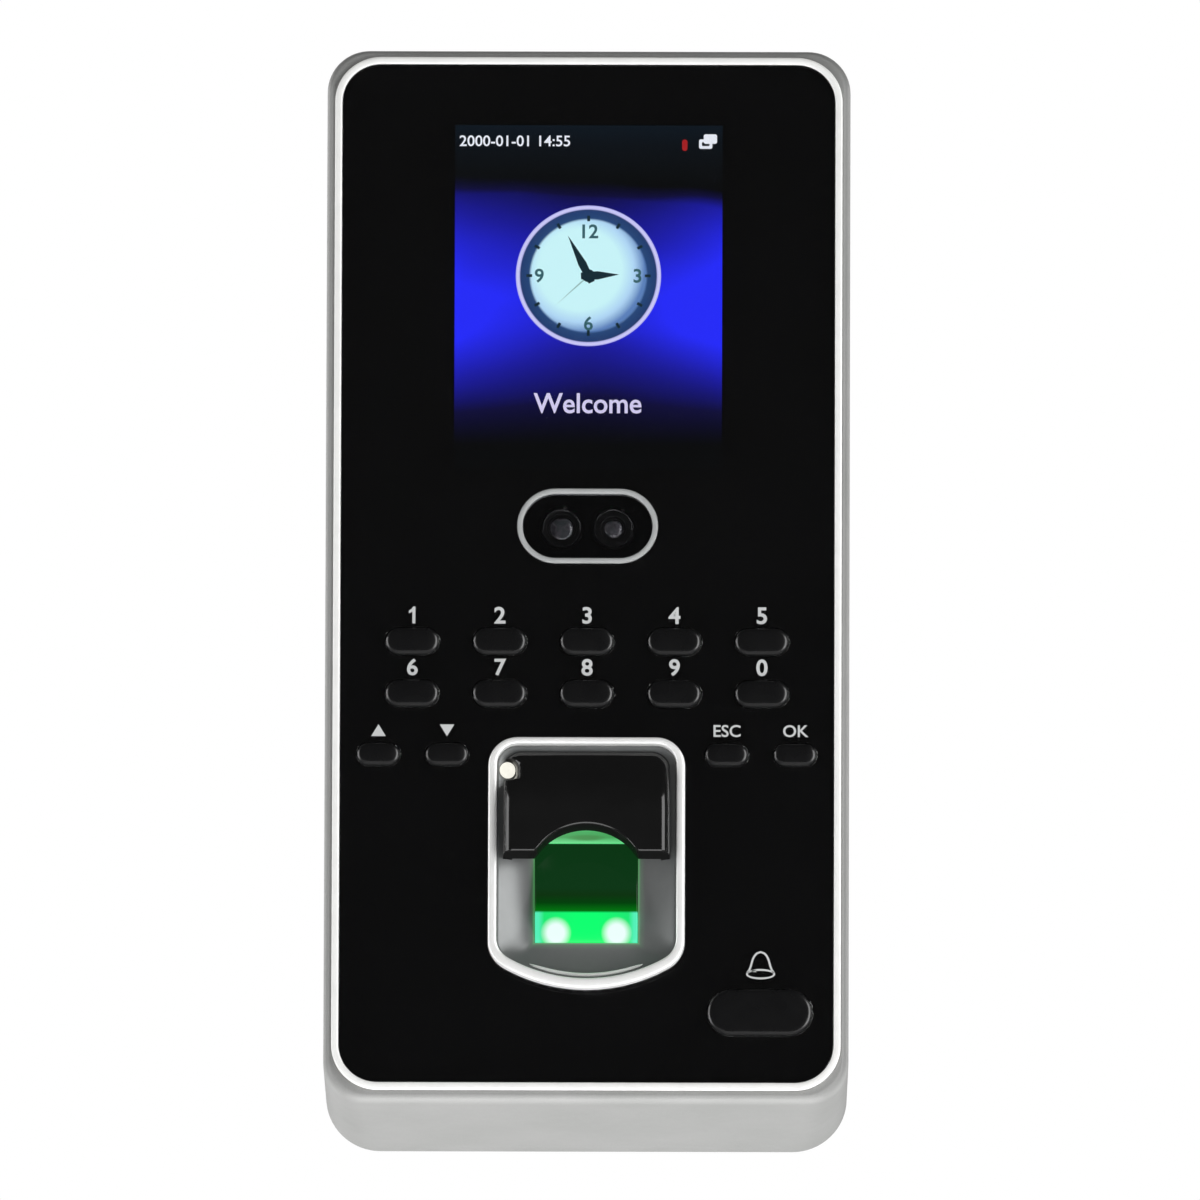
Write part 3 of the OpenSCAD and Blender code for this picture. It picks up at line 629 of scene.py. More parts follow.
class Shape:
    """A mesh under construction, in millimetres"""

    def __init__(self):
        self.mesh = bmesh.new()

    def row(self, points):
        return [self.mesh.verts.new(Vector(point) * MM) for point in points]

    def ring(self, outline, y):
        return self.row([(x, y, z) for x, z in outline])

    def bridge(self, a, b, closed=True):
        for i in range(len(a) if closed else len(a) - 1):
            j = (i + 1) % len(a)
            self.mesh.faces.new((a[i], a[j], b[j], b[i]))

    def skin(self, rows, closed=True, cyclic=False):
        pairs = list(zip(rows, rows[1:])) + ([(rows[-1], rows[0])] if cyclic else [])
        for a, b in pairs:
            self.bridge(a, b, closed)

    def fill(self, outer, holes=()):
        loops = [outer, *holes]
        flat = [vert for loop in loops for vert in loop]
        outlines = [[Vector((v.co.x / MM, v.co.z / MM, 0)) for v in loop] for loop in loops]
        for corners in geometry.tessellate_polygon(outlines):
            self.mesh.faces.new([flat[i] for i in corners])

    def slab(self, outer, holes, front, back, edge):
        """A plate with softened edges. outer and holes are functions of an inset."""
        fronts, backs = [], []
        for outline in [outer, *holes]:
            rows = [
                self.ring(outline(edge), front),
                self.ring(outline(edge * 0.3), front + edge * 0.3),
                self.ring(outline(0), front + edge),
                self.ring(outline(0), back),
            ]
            self.skin(rows)
            fronts.append(rows[0])
            backs.append(rows[-1])
        self.fill(fronts[0], fronts[1:])
        self.fill(backs[0], backs[1:])
        return self

    def lathe(self, x, z, profile, steps=48):
        """A turned shape about the Y line through (x, z); profile lists (radius, y) from front to back"""
        rows = [self.ring(circle(x, z, r, steps), y) for r, y in profile]
        self.skin(rows)
        self.fill(rows[0])
        self.fill(rows[-1])
        return self

    def piece(self, name, slot, replaces=(), body=HOUSING, material=None, sharp=35):
        bmesh.ops.recalc_face_normals(self.mesh, faces=self.mesh.faces)
        data = bpy.data.meshes.new(name)
        self.mesh.to_mesh(data)
        self.mesh.free()
        return adopt(data, name, slot, replaces, body, material, sharp)


def adopt(data, name, slot, replaces=(), body=HOUSING, material=None, sharp=35):
    """Makes a mesh a piece of the terminal"""
    data.materials.clear()
    data.materials.append(MATERIALS[material or slot])
    data.polygons.foreach_set("use_smooth", [True] * len(data.polygons))
    data.set_sharp_from_angle(angle=math.radians(sharp))
    piece = bpy.data.objects.new(name, data)
    scene.collection.objects.link(piece)
    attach(piece, body)
    if replaces:
        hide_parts(*replaces)
    return piece


def islands(node):
    """Box of each separate solid in a CAD node: a list of (low, high) corners in millimetres"""
    mesh = bmesh.new()
    mesh.from_mesh(frame["nodes"][node].data)
    bmesh.ops.remove_doubles(mesh, verts=mesh.verts, dist=0.001 * MM)
    left = set(mesh.verts)
    found = []
    while left:
        group, edge = set(), [left.pop()]
        while edge:
            vert = edge.pop()
            group.add(vert)
            near = [e.other_vert(vert) for e in vert.link_edges]
            edge += [v for v in near if v in left]
            left -= set(near)
        spots = [v.co / MM for v in group]
        low = Vector(min(s[i] for s in spots) for i in range(3))
        high = Vector(max(s[i] for s in spots) for i in range(3))
        found.append((low, high))
    mesh.free()
    return sorted(found, key=lambda box: tuple(box[0]))


def quarter(steps):
    """Turns through a right angle, as (cosine, sine) pairs"""
    turns = [math.pi / 2 * i / steps for i in range(steps + 1)]
    return [(math.cos(turn), math.sin(turn)) for turn in turns]


# ---------- Casing and panel ----------

def casing():
    low, high = mm_box("front_casing")
    width, height = high.x - low.x, high.z - low.z
    front, rim = low.y, high.y
    pocket = mm_box("panel_film")[1].y
    deck_back = pocket + DECK_T
    side_start, side_end, side_steps = front + SHOULDER_DEEP, rim - RIM_ROUND, 12
    shape = Shape()

    def shell(inset, r, y):
        return shape.ring(rounded(width - 2 * inset, height - 2 * inset, r), y)

    def inside(inset, y):
        w, h = width - 2 * WALL_T, height - 2 * WALL_T
        return shape.ring(rounded(w - 2 * inset, h - 2 * inset, INNER_R - inset), y)

    rows = [
        shape.ring(trim_outline(-FIT), pocket),
        shape.ring(trim_outline(-FIT), front + FIT),
        shape.ring(trim_outline(-0.08), front),
    ]
    for cosine, sine in quarter(10):
        inset = SHOULDER_IN * (1 - sine)
        rows.append(shell(inset, CASE_R - inset / 2, front + SHOULDER_DEEP * (1 - cosine)))
    for i in range(1, side_steps + 1):
        t = i / side_steps
        r = CASE_R + (CASE_REAR_R - CASE_R) * t
        rows.append(shell(CASE_DRAFT * t, r, side_start + (side_end - side_start) * t))
    for cosine, sine in quarter(5)[1:]:
        inset = RIM_ROUND * (1 - cosine)
        rows.append(shell(CASE_DRAFT + inset, CASE_REAR_R - inset, side_end + RIM_ROUND * sine))
    rows += [inside(-0.2, rim), inside(-0.05, rim - 0.06), inside(0, rim - 0.25), inside(0, deck_back)]
    shape.skin(rows)

    lcd_low, lcd_high = mm_box("lcd_frame")
    lcd_gap, lcd_r = 0.4, 0.3
    lcd_w, lcd_h = lcd_high.x - lcd_low.x + lcd_gap, lcd_high.z - lcd_low.z + lcd_gap
    openings = [rounded(lcd_w, lcd_h, lcd_r, *middle("lcd_frame"))]
    openings += [camera_outline(-FIT), reader_outline(-FIT)]
    openings += [key_outline(key, -KEY_GAP) for key in all_keys]
    fronts = [shape.ring(outline, pocket) for outline in openings]
    backs = [shape.ring(outline, deck_back) for outline in openings]
    for a, b in zip(fronts, backs):
        shape.bridge(a, b)
    shape.fill(rows[0], fronts)
    shape.fill(rows[-1], backs)
    bosses(shape, deck_back)
    shape.piece("casing_shell", "casing_grey", ["front_casing"])


def bosses(shape, deck_back):
    """Hollow posts behind the deck for the screws of the cover and the boards"""
    bore_r, bore_past_tip, shortest = 0.95, 0.5, 2.5
    board_front = mm_box("main_board")[0].y
    for node, post_r, grip, limit in (("cover_screws", 3.0, 5, 0), ("board_screws", 2.0, 4, board_front)):
        for low, high in islands(node):
            x, z = (low.x + high.x) / 2, (low.z + high.z) / 2
            top = min(low.y + grip, limit)
            if top <= deck_back + shortest:
                continue
            outer = [shape.ring(circle(x, z, post_r, 32), y) for y in (deck_back, top)]
            bore = [shape.ring(circle(x, z, bore_r, 32), y) for y in (top, low.y - bore_past_tip)]
            shape.skin(outer)
            shape.skin(bore)
            shape.fill(outer[1], [bore[0]])
            shape.fill(outer[0])
            shape.fill(bore[1])


def crowned(shape, outline, band, crown, steps, low_y, high_y):
    """Rows of a ring with a rounded crown, from its outer foot over the crown to its inner edge"""
    rows = [shape.ring(outline(0), high_y)]
    for i in range(steps + 1):
        turn = math.pi * i / steps
        t = (1 - math.cos(turn)) / 2
        rows.append(shape.ring(outline(band * t), low_y + crown * (1 - math.sin(turn))))
    return rows


def trim():
    low, high = mm_box("trim_ring")
    shape = Shape()
    rows = crowned(shape, trim_outline, TRIM_BAND, 0.16, 8, low.y, high.y)
    rows.append(shape.ring(trim_outline(TRIM_BAND), high.y))
    shape.skin(rows, cyclic=True)
    shape.piece("trim_band", "trim_silver", ["trim_ring"], sharp=50)


def panel():
    low, high = mm_box("front_panel")
    lift, edge = 0.04, 0.12
    holes = [opening(camera_outline, FIT), opening(reader_outline, FIT)]
    holes += [opening(key_outline, KEY_GAP, key) for key in all_keys]
    lens = Shape().slab(within(trim_outline, TRIM_BAND + FIT), holes, low.y, high.y - lift, edge)
    lens.piece("panel_lens", "clear_acrylic", ["front_panel"], sharp=15)


def camera_module():
    low, high = mm_box("camera_ring")
    window_low, window_high = mm_box("camera_window")
    shape = Shape()
    rows = crowned(shape, camera_outline, CAM_BAND, 0.15, 6, low.y, high.y)
    rows += [
        shape.ring(camera_outline(CAM_BAND), window_high.y),
        shape.ring(camera_outline(CAM_LEDGE), window_high.y),
        shape.ring(camera_outline(CAM_LEDGE), high.y),
    ]
    shape.skin(rows, cyclic=True)
    shape.piece("window_ring", "ring_grey", ["camera_ring"], sharp=50)

    lift, edge = 0.02, 0.1
    pane = Shape().slab(within(camera_outline, CAM_BAND + FIT), [], window_low.y, window_high.y - lift, edge)
    pane.piece("window_pane", "smoked_acrylic", ["camera_window"], sharp=15)

    eye_r, mask_y = 3.9, window_high.y - 0.01
    border = Shape()
    outer = border.ring(camera_outline(CAM_BAND + 2 * FIT), mask_y)
    eyes = [border.ring(circle(*middle("camera_" + side), eye_r, 48), mask_y) for side in ("left", "right")]
    border.fill(outer, eyes)
    border.piece("window_border", "black_film")
    for side, lens_r in (("left", 2.0), ("right", 1.6)):
        camera(side, lens_r)


def camera(side, lens_r):
    """A turned barrel on a square body, with a domed lens sunk in its mouth"""
    node = "camera_" + side
    low, high = mm_box(node)
    x, z = middle(node)
    side_w, body_deep, lens_deep = high.x - low.x, 4.9, 0.75
    shape = Shape()
    profile = [
        (lens_r + 0.15, lens_deep), (lens_r + 0.2, 0.5), (lens_r + 0.55, 0.45), (lens_r + 0.6, 0.2),
        (3.1, 0.12), (3.25, 0.0), (3.4, 0.04), (3.5, 0.2), (3.5, 1.6), (3.3, 1.7), (3.3, 1.9), (3.5, 2.0),
        (3.5, body_deep),
    ]
    shape.lathe(x, z, [(r, low.y + deep) for r, deep in profile])

    def body(inset):
        return rounded(side_w - 2 * inset, side_w - 2 * inset, 0.7, x, z)

    shape.slab(body, [], low.y + body_deep, high.y, 0.3)
    shape.piece("camera_barrel_" + side, "lens_black", [node], sharp=15)

    dome = []
    for degrees in range(5, 91, 7):
        turn = math.radians(degrees)
        dome.append((lens_r * math.sin(turn), low.y + lens_deep - 0.6 * math.cos(turn)))
    dome.append((lens_r, low.y + 0.78))
    Shape().lathe(x, z, dome).piece("camera_glass_" + side, "lens_black", material="coated_lens")


# ---------- Keys ----------

def keycap(key):
    """A domed cap with a softened edge, its flange behind the panel and the stem that works its switch"""
    low, high = mm_box(key)
    x, z = middle(key)
    flange_back = low.y + KEY_FLANGE_BACK
    flange_front = flange_back - KEY_FLANGE_T
    half = (high.z - low.z) / 2 - KEY_RIM
    edge, edge_deep, crown, crown_steps = 1.0, 0.7, 0.08, 5
    shape = Shape()
    rows = [
        shape.ring(key_outline(key, -KEY_RIM), flange_back),
        shape.ring(key_outline(key, -KEY_RIM), flange_front),
        shape.ring(key_outline(key, 0), flange_front),
    ]
    for cosine, sine in quarter(5):
        y = low.y + crown + edge_deep * (1 - sine)
        rows.append(shape.ring(key_outline(key, edge * (1 - cosine)), y))
    for i in range(1, crown_steps + 1):
        inset = edge + (half * 0.96 - edge) * i / crown_steps
        dome = 1 - ((half - inset) / (half - edge)) ** 2
        rows.append(shape.ring(key_outline(key, inset), low.y + crown * (1 - dome)))
    shape.skin(rows)
    shape.fill(rows[-1])
    stem = [shape.ring(circle(x, z, KEY_STEM_R, 32), y) for y in (flange_back, high.y)]
    shape.skin(stem)
    shape.fill(rows[0], [stem[0]])
    shape.fill(stem[1])
    shape.piece("cap_" + key[4:], "key_black", [key], body=key, sharp=60)


# ---------- Fingerprint reader ----------

def reader_ring():
    low, high = mm_box("finger_ring")
    shape = Shape()

    def outline(inset):
        return reader_outline(inset, RING_RISE * inset / RING_BAND)

    rows = crowned(shape, outline, RING_BAND, 0.32, 10, low.y, high.y)
    rows.append(shape.ring(outline(RING_BAND), high.y))
    shape.skin(rows, cyclic=True)
    shape.piece("reader_ring", "ring_silver", ["finger_ring"], sharp=50)


def prism_frame(outline):
    """For each point of the reader's outline, the point on the prism's opening that faces it"""
    gap = 0.08
    low, high = mm_box("finger_prism")
    centre_z = (low.z + high.z) / 2
    half_w, half_h = high.x + gap, high.z - centre_z + gap
    spots = []
    for x, z in outline:
        dz = z - centre_z
        reach = min(half_w / max(abs(x), 1e-6), half_h / max(abs(dz), 1e-6))
        spots.append((x * reach, centre_z + dz * reach))
    for side in (-1, 1):
        for end in (-1, 1):
            corner = (side * half_w, centre_z + end * half_h)
            nearest = min(range(len(spots)), key=lambda i: math.dist(spots[i], corner))
            spots[nearest] = corner
    return spots


def cradle():
    """A dish that falls from a rolled lip inside the reader's ring to the prism's opening"""
    low, high = mm_box("finger_cradle")
    floor_y, lip_in, lip_drop, steps = -37.35, 0.45, 0.08, 12
    shape = Shape()

    # Each row of the lip: how far it is inside the ring's band, and its depth
    lip_rows = [(FIT, high.y), (FIT, low.y + 0.1), (0.1, low.y + 0.03), (0.2, low.y), (0.32, low.y + 0.02)]
    lip_rows.append((lip_in, low.y + lip_drop))
    rows = [shape.ring(reader_outline(RING_BAND + inset, RING_RISE), y) for inset, y in lip_rows]

    lip = reader_outline(RING_BAND + lip_in, RING_RISE)
    prism_hole = prism_frame(lip)
    start_y = low.y + lip_drop
    for i in range(1, steps + 1):
        t = i / steps
        y = start_y + (floor_y - start_y) * math.sin(t * math.pi / 2)
        points = [(x + (u - x) * t, y, z + (w - z) * t) for (x, z), (u, w) in zip(lip, prism_hole)]
        rows.append(shape.row(points))
    rows.append(shape.ring(prism_hole, high.y))
    shape.skin(rows)
    shape.fill(rows[0], [rows[-1]])
    shape.piece("reader_cradle", "cradle_grey", ["finger_cradle"], sharp=40)
    cradle_highlight_bead(low.y)


def cradle_highlight_bead(front):
    """A thin bead that follows the ring's lower arc and tapers at both ends. It is a real ridge, but it
    takes the ring's bright silver instead of the cradle's grey, so that its colour is partly a painted
    highlight along the lip
    """
    half_length, inset, half_thick, spans, around = 9.7, 0.95, 0.32, 32, 8
    r = RING_ARC_R - RING_BAND - inset
    centre_z = mm_box("finger_ring")[0].z + RING_ARC_R + RING_RISE
    half_turn = math.degrees(math.asin(half_length / r))
    shape = Shape()
    sections = []
    for i in range(spans + 1):
        t = 2 * i / spans - 1
        turn = math.radians(270 + half_turn * t)
        thick = half_thick * math.sqrt(max(0.02, 1 - t ** 6))
        points = []
        for step in range(around + 1):
            lean = math.pi * step / around
            reach = r + thick * math.cos(lean)
            y = front + 0.25 - thick * 1.2 * math.sin(lean)
            points.append((reach * math.cos(turn), y, centre_z + reach * math.sin(turn)))
        sections.append(shape.row(points))
    shape.skin(sections)
    for end in (sections[0], sections[-1]):
        shape.mesh.faces.new(end)
    # Bright silver on the grey cradle: a painted highlight
    shape.piece("cradle_highlight_bead", "cradle_grey", material="ring_silver")


def hood():
    """A swelling shell whose lower edge is a deeper arch at the back than in front"""
    low, high = mm_box("finger_hood")
    half_w, low_z = high.x, low.z
    top_z = mm_box("finger_ring")[1].z - 1.9
    base_y, back_y = -38.2, -39.3
    corner_r, edge_r, wall, lip_r = 3.2, 1.9, 1.5, 0.6
    front_half, front_rise = 8.7, 4.85
    rear_half, rear_rise = 8.1, 5.0
    lamp_x, lamp_z = middle("status_lamp")
    notch_r, notch_flat = 1.5, 0.5

    def depth(z):
        """How far the hood's face stands out at this height"""
        swell = min(1.0, (top_z - z) / (top_z - low_z) / 0.6)
        slope = HOOD_TOP_Y + (low.y - HOOD_TOP_Y) * math.sin(math.pi / 2 * swell) ** 1.1
        start = min(1.0, (top_z - z) / 1.1)
        return base_y + (slope - base_y) * math.sqrt(1 - (1 - start) ** 2)

    def arch(x, half, rise):
        """Height of the lower edge at x: an arc of a circle between two flats"""
        if abs(x) >= half:
            return low_z
        r = (half ** 2 + rise ** 2) / (2 * rise)
        return low_z + math.sqrt(r ** 2 - x ** 2) - (r - rise)

    def sides(z):
        """Left and right limits at this height, with round upper corners and room for the lamp"""
        w = half_w
        if z > top_z - corner_r:
            w = half_w - corner_r + math.sqrt(max(0.0, corner_r ** 2 - (z - top_z + corner_r) ** 2))
        left = -w
        away = max(0.0, abs(z - lamp_z + notch_flat) - notch_flat)
        if away < notch_r:
            left = max(left, lamp_x + math.sqrt(notch_r ** 2 - away ** 2))
        return left, w

    # A column is (across, tuck, drop, out): its place from side to side, how much of the edge's radius it is
    # tucked in and dropped back by, and how far it stands out from the base
    face_steps = 36
    turns = [(1 - cosine, 1 - sine, 1.0) for cosine, sine in quarter(6)]
    edge_columns = [(0.0, 1.0, 0.0), (0.0, 1.0, 0.5), *turns]
    columns = [(-1.0, *column) for column in edge_columns]
    columns += [(-1 + 2 * i / face_steps, 1.0, 0.0, 1.0) for i in range(1, face_steps)]
    columns += [(1.0, *column) for column in reversed(edge_columns)]
    levels = [0.0, 0.004, 0.01, 0.02, 0.035, 0.055, 0.08]
    levels += [0.08 + 0.88 * i / 50 for i in range(1, 51)]
    levels += [0.96 + 0.04 * i / 8 for i in range(1, 9)]

    def front_point(column, z):
        across, tuck, drop, out = column
        left, right = sides(z)
        y = depth(z)
        r = max(0.0, min(edge_r, (base_y - y) * 0.9, (right - left) / 4))
        x = (left + right) / 2 + across * ((right - left) / 2 - r * tuck)
        return x, base_y + (y + r * drop - base_y) * out

    shape = Shape()
    fronts, backs = [], []
    for level in levels:
        front_row, back_row = [], []
        for column in columns:
            x0, _ = front_point(column, low_z + 6)
            front_end = arch(x0, front_half, front_rise)
            z = top_z + (front_end - top_z) * level
            x, y = front_point(column, z)
            near = min(1.0, max(0.0, 1 - (z - front_end) / lip_r))
            y += min(lip_r * (1 - math.sqrt(1 - near ** 2)), max(0.0, back_y - y))
            front_row.append((x, y, z))

            rear_end = arch(x0 * rear_half / front_half, rear_half, rear_rise)
            z = top_z + (rear_end - top_z) * level
            left, right = sides(z)
            on_base = column[-1] == 0.0
            rear_y = max(base_y if on_base else back_y, y + 0.05)
            back_row.append((max(left + wall, min(right - wall, x)), rear_y, z))
        fronts.append(shape.row(front_row))
        backs.append(shape.row(back_row))
    shape.skin(fronts, closed=False)
    shape.skin(backs, closed=False)
    shape.bridge(fronts[0], backs[0], closed=False)
    shape.bridge(fronts[-1], backs[-1], closed=False)
    for column in (0, -1):
        shape.bridge([row[column] for row in fronts], [row[column] for row in backs], closed=False)
    shape.piece("reader_hood", "hood_black", ["finger_hood"], sharp=45)


def prism():
    low, high = mm_box("finger_prism")
    edge = 0.22
    profile = [
        (low.y + 1.7, low.z), (low.y, FOLD_Z), (low.y + 1.6, high.z),
        (high.y, high.z), (high.y, high.z - 3), (low.y + 4.4, low.z),
    ]
    shape = Shape()
    ends = [shape.row([(x, y, z) for y, z in profile]) for x in (low.x, high.x)]
    shape.bridge(*ends)
    for end in ends:
        shape.mesh.faces.new(end)
    mesh = shape.mesh
    bmesh.ops.recalc_face_normals(mesh, faces=mesh.faces)
    bmesh.ops.bevel(mesh, geom=mesh.edges[:], offset=edge * MM, segments=3, profile=0.5, affect="EDGES")
    shape.piece("reader_prism", "prism_green", ["finger_prism"])


def lamp():
    low, high = mm_box("status_lamp")
    r = (high.x - low.x) / 2
    dome = []
    for degrees in range(4, 91, 8):
        turn = math.radians(degrees)
        dome.append((r * math.sin(turn), low.y + 0.7 * (1 - math.cos(turn))))
    dome.append((r, high.y))
    Shape().lathe(*middle("status_lamp"), dome).piece("status_light", "lamp_white", ["status_lamp"])


# ---------- Print and picture ----------

def lettering(text, height, x, z, y, name, slot, material, bold=0.0, anchor="CENTER", narrow=1.0):
    """Flat letters of the given height, centred at (x, z) or starting there"""
    font = bpy.data.curves.new(name, "FONT")
    font.body = text
    font.align_x = anchor
    font.offset = bold
    font.resolution_u = 4
    holder = bpy.data.objects.new(name, font)
    scene.collection.objects.link(holder)
    bpy.context.view_layer.update()
    data = bpy.data.meshes.new_from_object(holder)
    bpy.data.objects.remove(holder)
    bpy.data.curves.remove(font)
    tops = [v.co.y for v in data.vertices]
    low, high = min(tops), max(tops)
    scale = height / (high - low)
    for v in data.vertices:
        rise = (v.co.y - (low + high) / 2) * scale
        v.co = Vector((x + v.co.x * scale * narrow, y, z + rise)) * MM
    data.name = name
    return adopt(data, name, slot, material=material)


def decal(outlines, y, name, slot, material):
    """Flat filled outlines, or bands between pairs of outlines"""
    shape = Shape()
    for outline in outlines:
        if isinstance(outline, tuple):
            shape.bridge(shape.ring(outline[0], y), shape.ring(outline[1], y))
        else:
            shape.fill(shape.ring(outline, y))
    return shape.piece(name, slot, material=material)


def stroke(points, width):
    """A band of the given width along a line of (x, z) points, as one closed outline"""
    left, right = [], []
    for i, (x, z) in enumerate(points):
        before, after = points[max(i - 1, 0)], points[min(i + 1, len(points) - 1)]
        dx, dz = after[0] - before[0], after[1] - before[1]
        length = math.hypot(dx, dz)
        nx, nz = -dz / length * width / 2, dx / length * width / 2
        left.append((x + nx, z + nz))
        right.append((x - nx, z - nz))
    return left + right[::-1]


def legends():
    """The panel's white print: figures, arrows, two words and a bell"""
    y = mm_box("front_panel")[0].y - 0.02
    ink = {"slot": "lamp_white", "material": "legend_white"}
    figure_h, figure_rise, word_h, word_rise, arrow = 3.0, 4.65, 2.15, 4.25, (1.25, 1.05)
    for key in number_keys:
        x, z = middle(key)
        z += figure_rise
        name = "legend_" + key[4:]
        if key == "key_1":
            decal([[(x + px, z + pz) for px, pz in FIGURE_1]], y, name, **ink)
        else:
            lettering(key[4:], figure_h, x, z, y, name, bold=0.022, **ink)
    label_z = middle("key_up")[1] + word_rise
    for key, point in (("key_up", 1), ("key_down", -1)):
        x = middle(key)[0]
        base, tip = label_z - point * arrow[1], label_z + point * arrow[1]
        decal([[(x - arrow[0], base), (x + arrow[0], base), (x, tip)]], y, "legend_" + key[4:], **ink)
    for key, word in (("key_esc", "ESC"), ("key_ok", "OK")):
        lettering(word, word_h, middle(key)[0], label_z, y, "legend_" + key[4:], bold=0.014, **ink)
    decal(bell_sign(), y, "legend_bell", **ink)


def bell_sign():
    """A plain bell in thin lines: its dome, its mouth and a clapper"""
    x, z = 29.9, -69.42
    line = 0.34
    mouth_z, mouth_w, mouth_h = z - 1.57, 2.5, 0.92
    side = [
        (-2.28, -1.3), (-1.93, -0.85), (-1.68, -0.2), (-1.5, 0.5),
        (-1.32, 1.1), (-1.06, 1.62), (-0.64, 2.1),
    ]
    dome = side + [(0.0, 2.33)] + [(-px, pz) for px, pz in reversed(side)]
    return [
        stroke([(x + px, z + pz) for px, pz in dome], line),
        (ellipse(x, mouth_z, mouth_w, mouth_h), ellipse(x, mouth_z, mouth_w - line, mouth_h - line)),
        stroke([(x - 1.55, mouth_z + 0.6), (x - 0.75, mouth_z + 0.5)], line),
    ]


def ellipse(x, z, half_w, half_h):
    return [(x + half_w * u, z + half_h * v) for u, v in circle(0, 0, 1, 48)]


def clock_hand(turn, reach, tail, width):
    """Outline of a tapered hand that points turn degrees clockwise from twelve"""
    cx, cz = CLOCK
    turn = math.radians(turn)
    dx, dz = math.sin(turn), math.cos(turn)

    def spot(along, across):
        return cx + dx * along - dz * across, cz + dz * along + dx * across

    shoulder = reach * 0.3
    return [
        spot(reach, 0), spot(shoulder, width / 2), spot(-tail, width * 0.4),
        spot(-tail, -width * 0.4), spot(shoulder, -width / 2),
    ]


def clock(glass):
    """Dial, hour marks, hands and four figures, each a little nearer than the one before"""
    cx, cz = CLOCK
    dial = [(CLOCK_R, glass - 0.04), (CLOCK_R, glass - 0.01)]
    Shape().lathe(cx, cz, dial, 96).piece("clock_dial", "screen_lit", material="clock_dial")
    marks_y, hands_y, hub_y = glass - 0.06, glass - 0.08, glass - 0.09
    mark_in, mark_out, mark_w = CLOCK_R * 0.775, CLOCK_R * 0.855, 0.5
    marks = []
    for hour in range(12):
        turn = math.radians(30 * hour)
        ends = [(cx + r * math.sin(turn), cz + r * math.cos(turn)) for r in (mark_in, mark_out)]
        marks.append(stroke(ends, mark_w))
    decal(marks, marks_y, "clock_ticks", "screen_lit", "clock_ink")
    for name, material, hand in (
        ("hour", "clock_ink", clock_hand(87.5, 5.3, 1.3, 1.5)),
        ("minute", "clock_ink", clock_hand(-26.5, 8.0, 1.3, 1.45)),
        ("second", "clock_faint", clock_hand(227.0, 7.6, 0.0, 0.26)),
    ):
        decal([hand], hands_y, "clock_" + name + "_hand", "screen_lit", material)
    decal([circle(cx, cz, 1.15, 24)], hub_y, "clock_hub", "screen_lit", "clock_ink")
    for figure, turn, reach in (("12", 0, 7.9), ("3", 90, 8.45), ("6", 180, 8.45), ("9", 270, 8.45)):
        x = cx + reach * math.sin(math.radians(turn))
        z = cz + reach * math.cos(math.radians(turn))
        lettering(figure, 2.5, x, z, marks_y, "clock_" + figure, "screen_lit", "clock_print", bold=0.02)


def screen():
    glass = mm_box("lcd_glass")[0].y
    clock(glass)
    y, nearer = glass - 0.06, glass - 0.08
    white = {"slot": "screen_lit", "material": "screen_white"}
    slot = white["slot"]
    lettering("Welcome", 3.6, 0.0, 30.4, y, "greeting", slot, "greeting_white", bold=0.014, narrow=0.93)
    lettering("2000-01-01 14:55", 1.95, -22.3, 77.0, y, "date", bold=0.012, anchor="LEFT", **white)
    decal([rounded(0.9, 2.0, 0.4, 16.5, 76.3)], y, "screen_mark", slot, "screen_red")
    decal([rounded(2.3, 1.7, 0.35, 20.9, 77.4)], y, "screen_icon_back", **white)
    frame_band = (rounded(2.3, 1.7, 0.35, 20.1, 76.5), rounded(1.3, 0.7, 0.2, 20.1, 76.5))
    decal([frame_band], nearer, "screen_icon_front", **white)


# ---------- Studio ----------

AMBIENT = 0.04
FLOOR_Z = -2.8


def direction(azimuth, elevation):
    """Unit vector from the object towards this azimuth and elevation in degrees; 0, 0 is straight ahead"""
    a, e = math.radians(azimuth), math.radians(elevation)
    return Vector((math.sin(a) * math.cos(e), -math.cos(a) * math.cos(e), math.sin(e)))


def softbox(name, azimuth, elevation, distance, width, height, radiance):
    light = bpy.data.lights.new(name, "AREA")
    light.shape = "RECTANGLE"
    light.size, light.size_y = width, height
    light.energy = radiance * math.pi * width * height
    lamp_object = bpy.data.objects.new(name, light)
    place = direction(azimuth, elevation) * distance
    lamp_object.location = place
    lamp_object.rotation_euler = place.to_track_quat("Z", "Y").to_euler()
    scene.collection.objects.link(lamp_object)


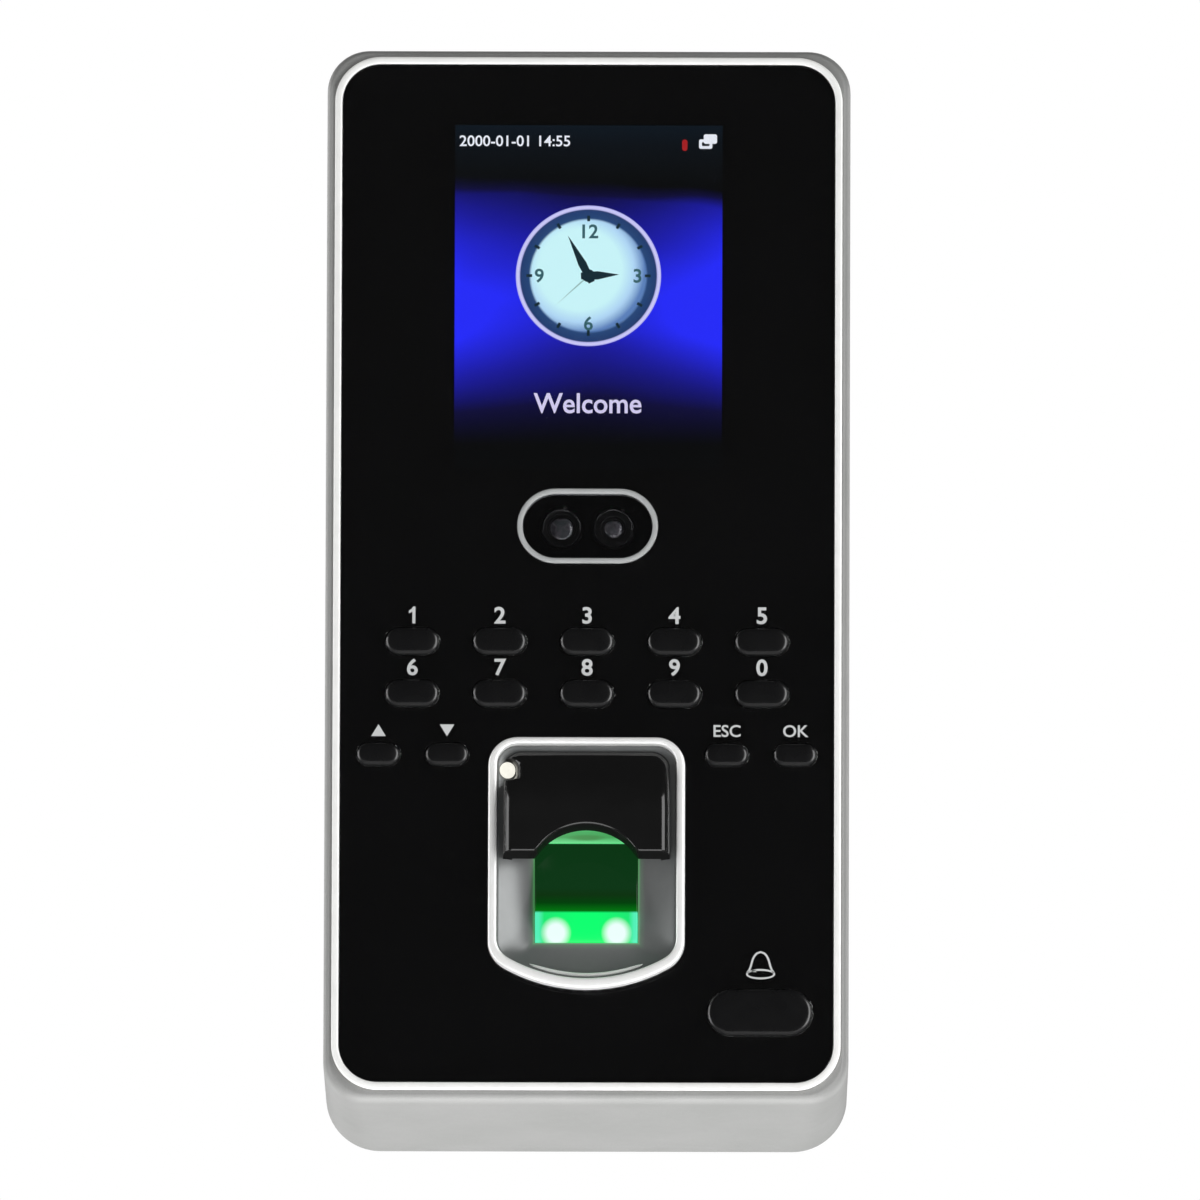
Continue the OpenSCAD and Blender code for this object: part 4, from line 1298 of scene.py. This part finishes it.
def studio():
    world = bpy.data.worlds.new("studio")
    world.use_nodes = True
    nodes, links = world.node_tree.nodes, world.node_tree.links
    ambient = nodes["Background"]
    ambient.inputs["Color"].default_value = (1, 1, 1, 1)
    ambient.inputs["Strength"].default_value = AMBIENT
    seen = nodes.new("ShaderNodeBackground")
    seen.inputs["Strength"].default_value = 1.0
    seen.inputs["Color"].default_value = (1, 1, 1, 1)
    ray = nodes.new("ShaderNodeLightPath")
    mix = nodes.new("ShaderNodeMixShader")
    links.new(ray.outputs["Is Camera Ray"], mix.inputs["Fac"])
    links.new(ambient.outputs[0], mix.inputs[1])
    links.new(seen.outputs[0], mix.inputs[2])
    links.new(mix.outputs[0], nodes["World Output"].inputs["Surface"])
    scene.world = world

    softbox("left_box", -76, -4, 1.6, 0.9, 2.0, 3.5)
    softbox("right_box", 50, -2, 1.6, 0.9, 2.2, 4.2)
    softbox("low_box", 0, -56, 1.6, 1.6, 1.2, 3.2)
    softbox("under_box", 180, -66, 1.6, 1.6, 1.2, 5.0)
    softbox("back_left_box", -140, 0, 1.8, 1.2, 1.8, 1.9)
    softbox("back_right_box", 135, -5, 1.8, 1.2, 1.8, 1.9)
    softbox("top_box", 180, 40, 1.8, 1.4, 1.0, 1.0)

    floor_mesh = bmesh.new()
    bmesh.ops.create_grid(floor_mesh, x_segments=8, y_segments=8, size=5.0)
    data = bpy.data.meshes.new("floor")
    floor_mesh.to_mesh(data)
    floor_mesh.free()
    floor = bpy.data.objects.new("floor", data)
    floor.location.z = FLOOR_Z
    scene.collection.objects.link(floor)
    paint = Finish("floor_paint", (0.8, 0.8, 0.79, 1), 0.7)
    paint.mottle(200.0, 0.02)
    data.materials.append(paint.material)


def camera_view():
    """A long lens from 14 degrees below, square to the front, very slightly rolled"""
    lens, sensor, view_width = 1600.0, 36.0, 206.0
    azimuth, elevation, roll = 0.2, -14.25, math.radians(0.19)
    front_y, aim_right, aim_down = -40.0, 2.16, 4.84
    toward = direction(azimuth, elevation)
    level_right = (-toward).cross(Vector((0, 0, 1))).normalized()
    level_up = toward.cross(level_right)
    right = level_right * math.cos(roll) + level_up * math.sin(roll)
    up = level_up * math.cos(roll) - level_right * math.sin(roll)
    aim = Vector((0, front_y, 0)) + right * aim_right - up * aim_down
    data = bpy.data.cameras.new("camera")
    data.lens, data.sensor_width = lens, sensor
    data.clip_end = 20.0
    place = (aim + toward * view_width * lens / sensor) * MM
    view = bpy.data.objects.new("camera", data)
    view.matrix_world = Matrix((
        (right.x, up.x, toward.x, place.x),
        (right.y, up.y, toward.y, place.y),
        (right.z, up.z, toward.z, place.z),
        (0, 0, 0, 1),
    ))
    scene.collection.objects.link(view)
    scene.camera = view
    scene.view_settings.view_transform = "Standard"


camera_view()
studio()
for part in frame["record"]["subparts"]:
    for material_slot in frame["nodes"][part["node"]].material_slots:
        material_slot.material = MATERIALS[part["material_slot"]]
casing()
trim()
panel()
camera_module()
for key in all_keys:
    keycap(key)
reader_ring()
cradle()
hood()
prism()
lamp()
legends()
screen()
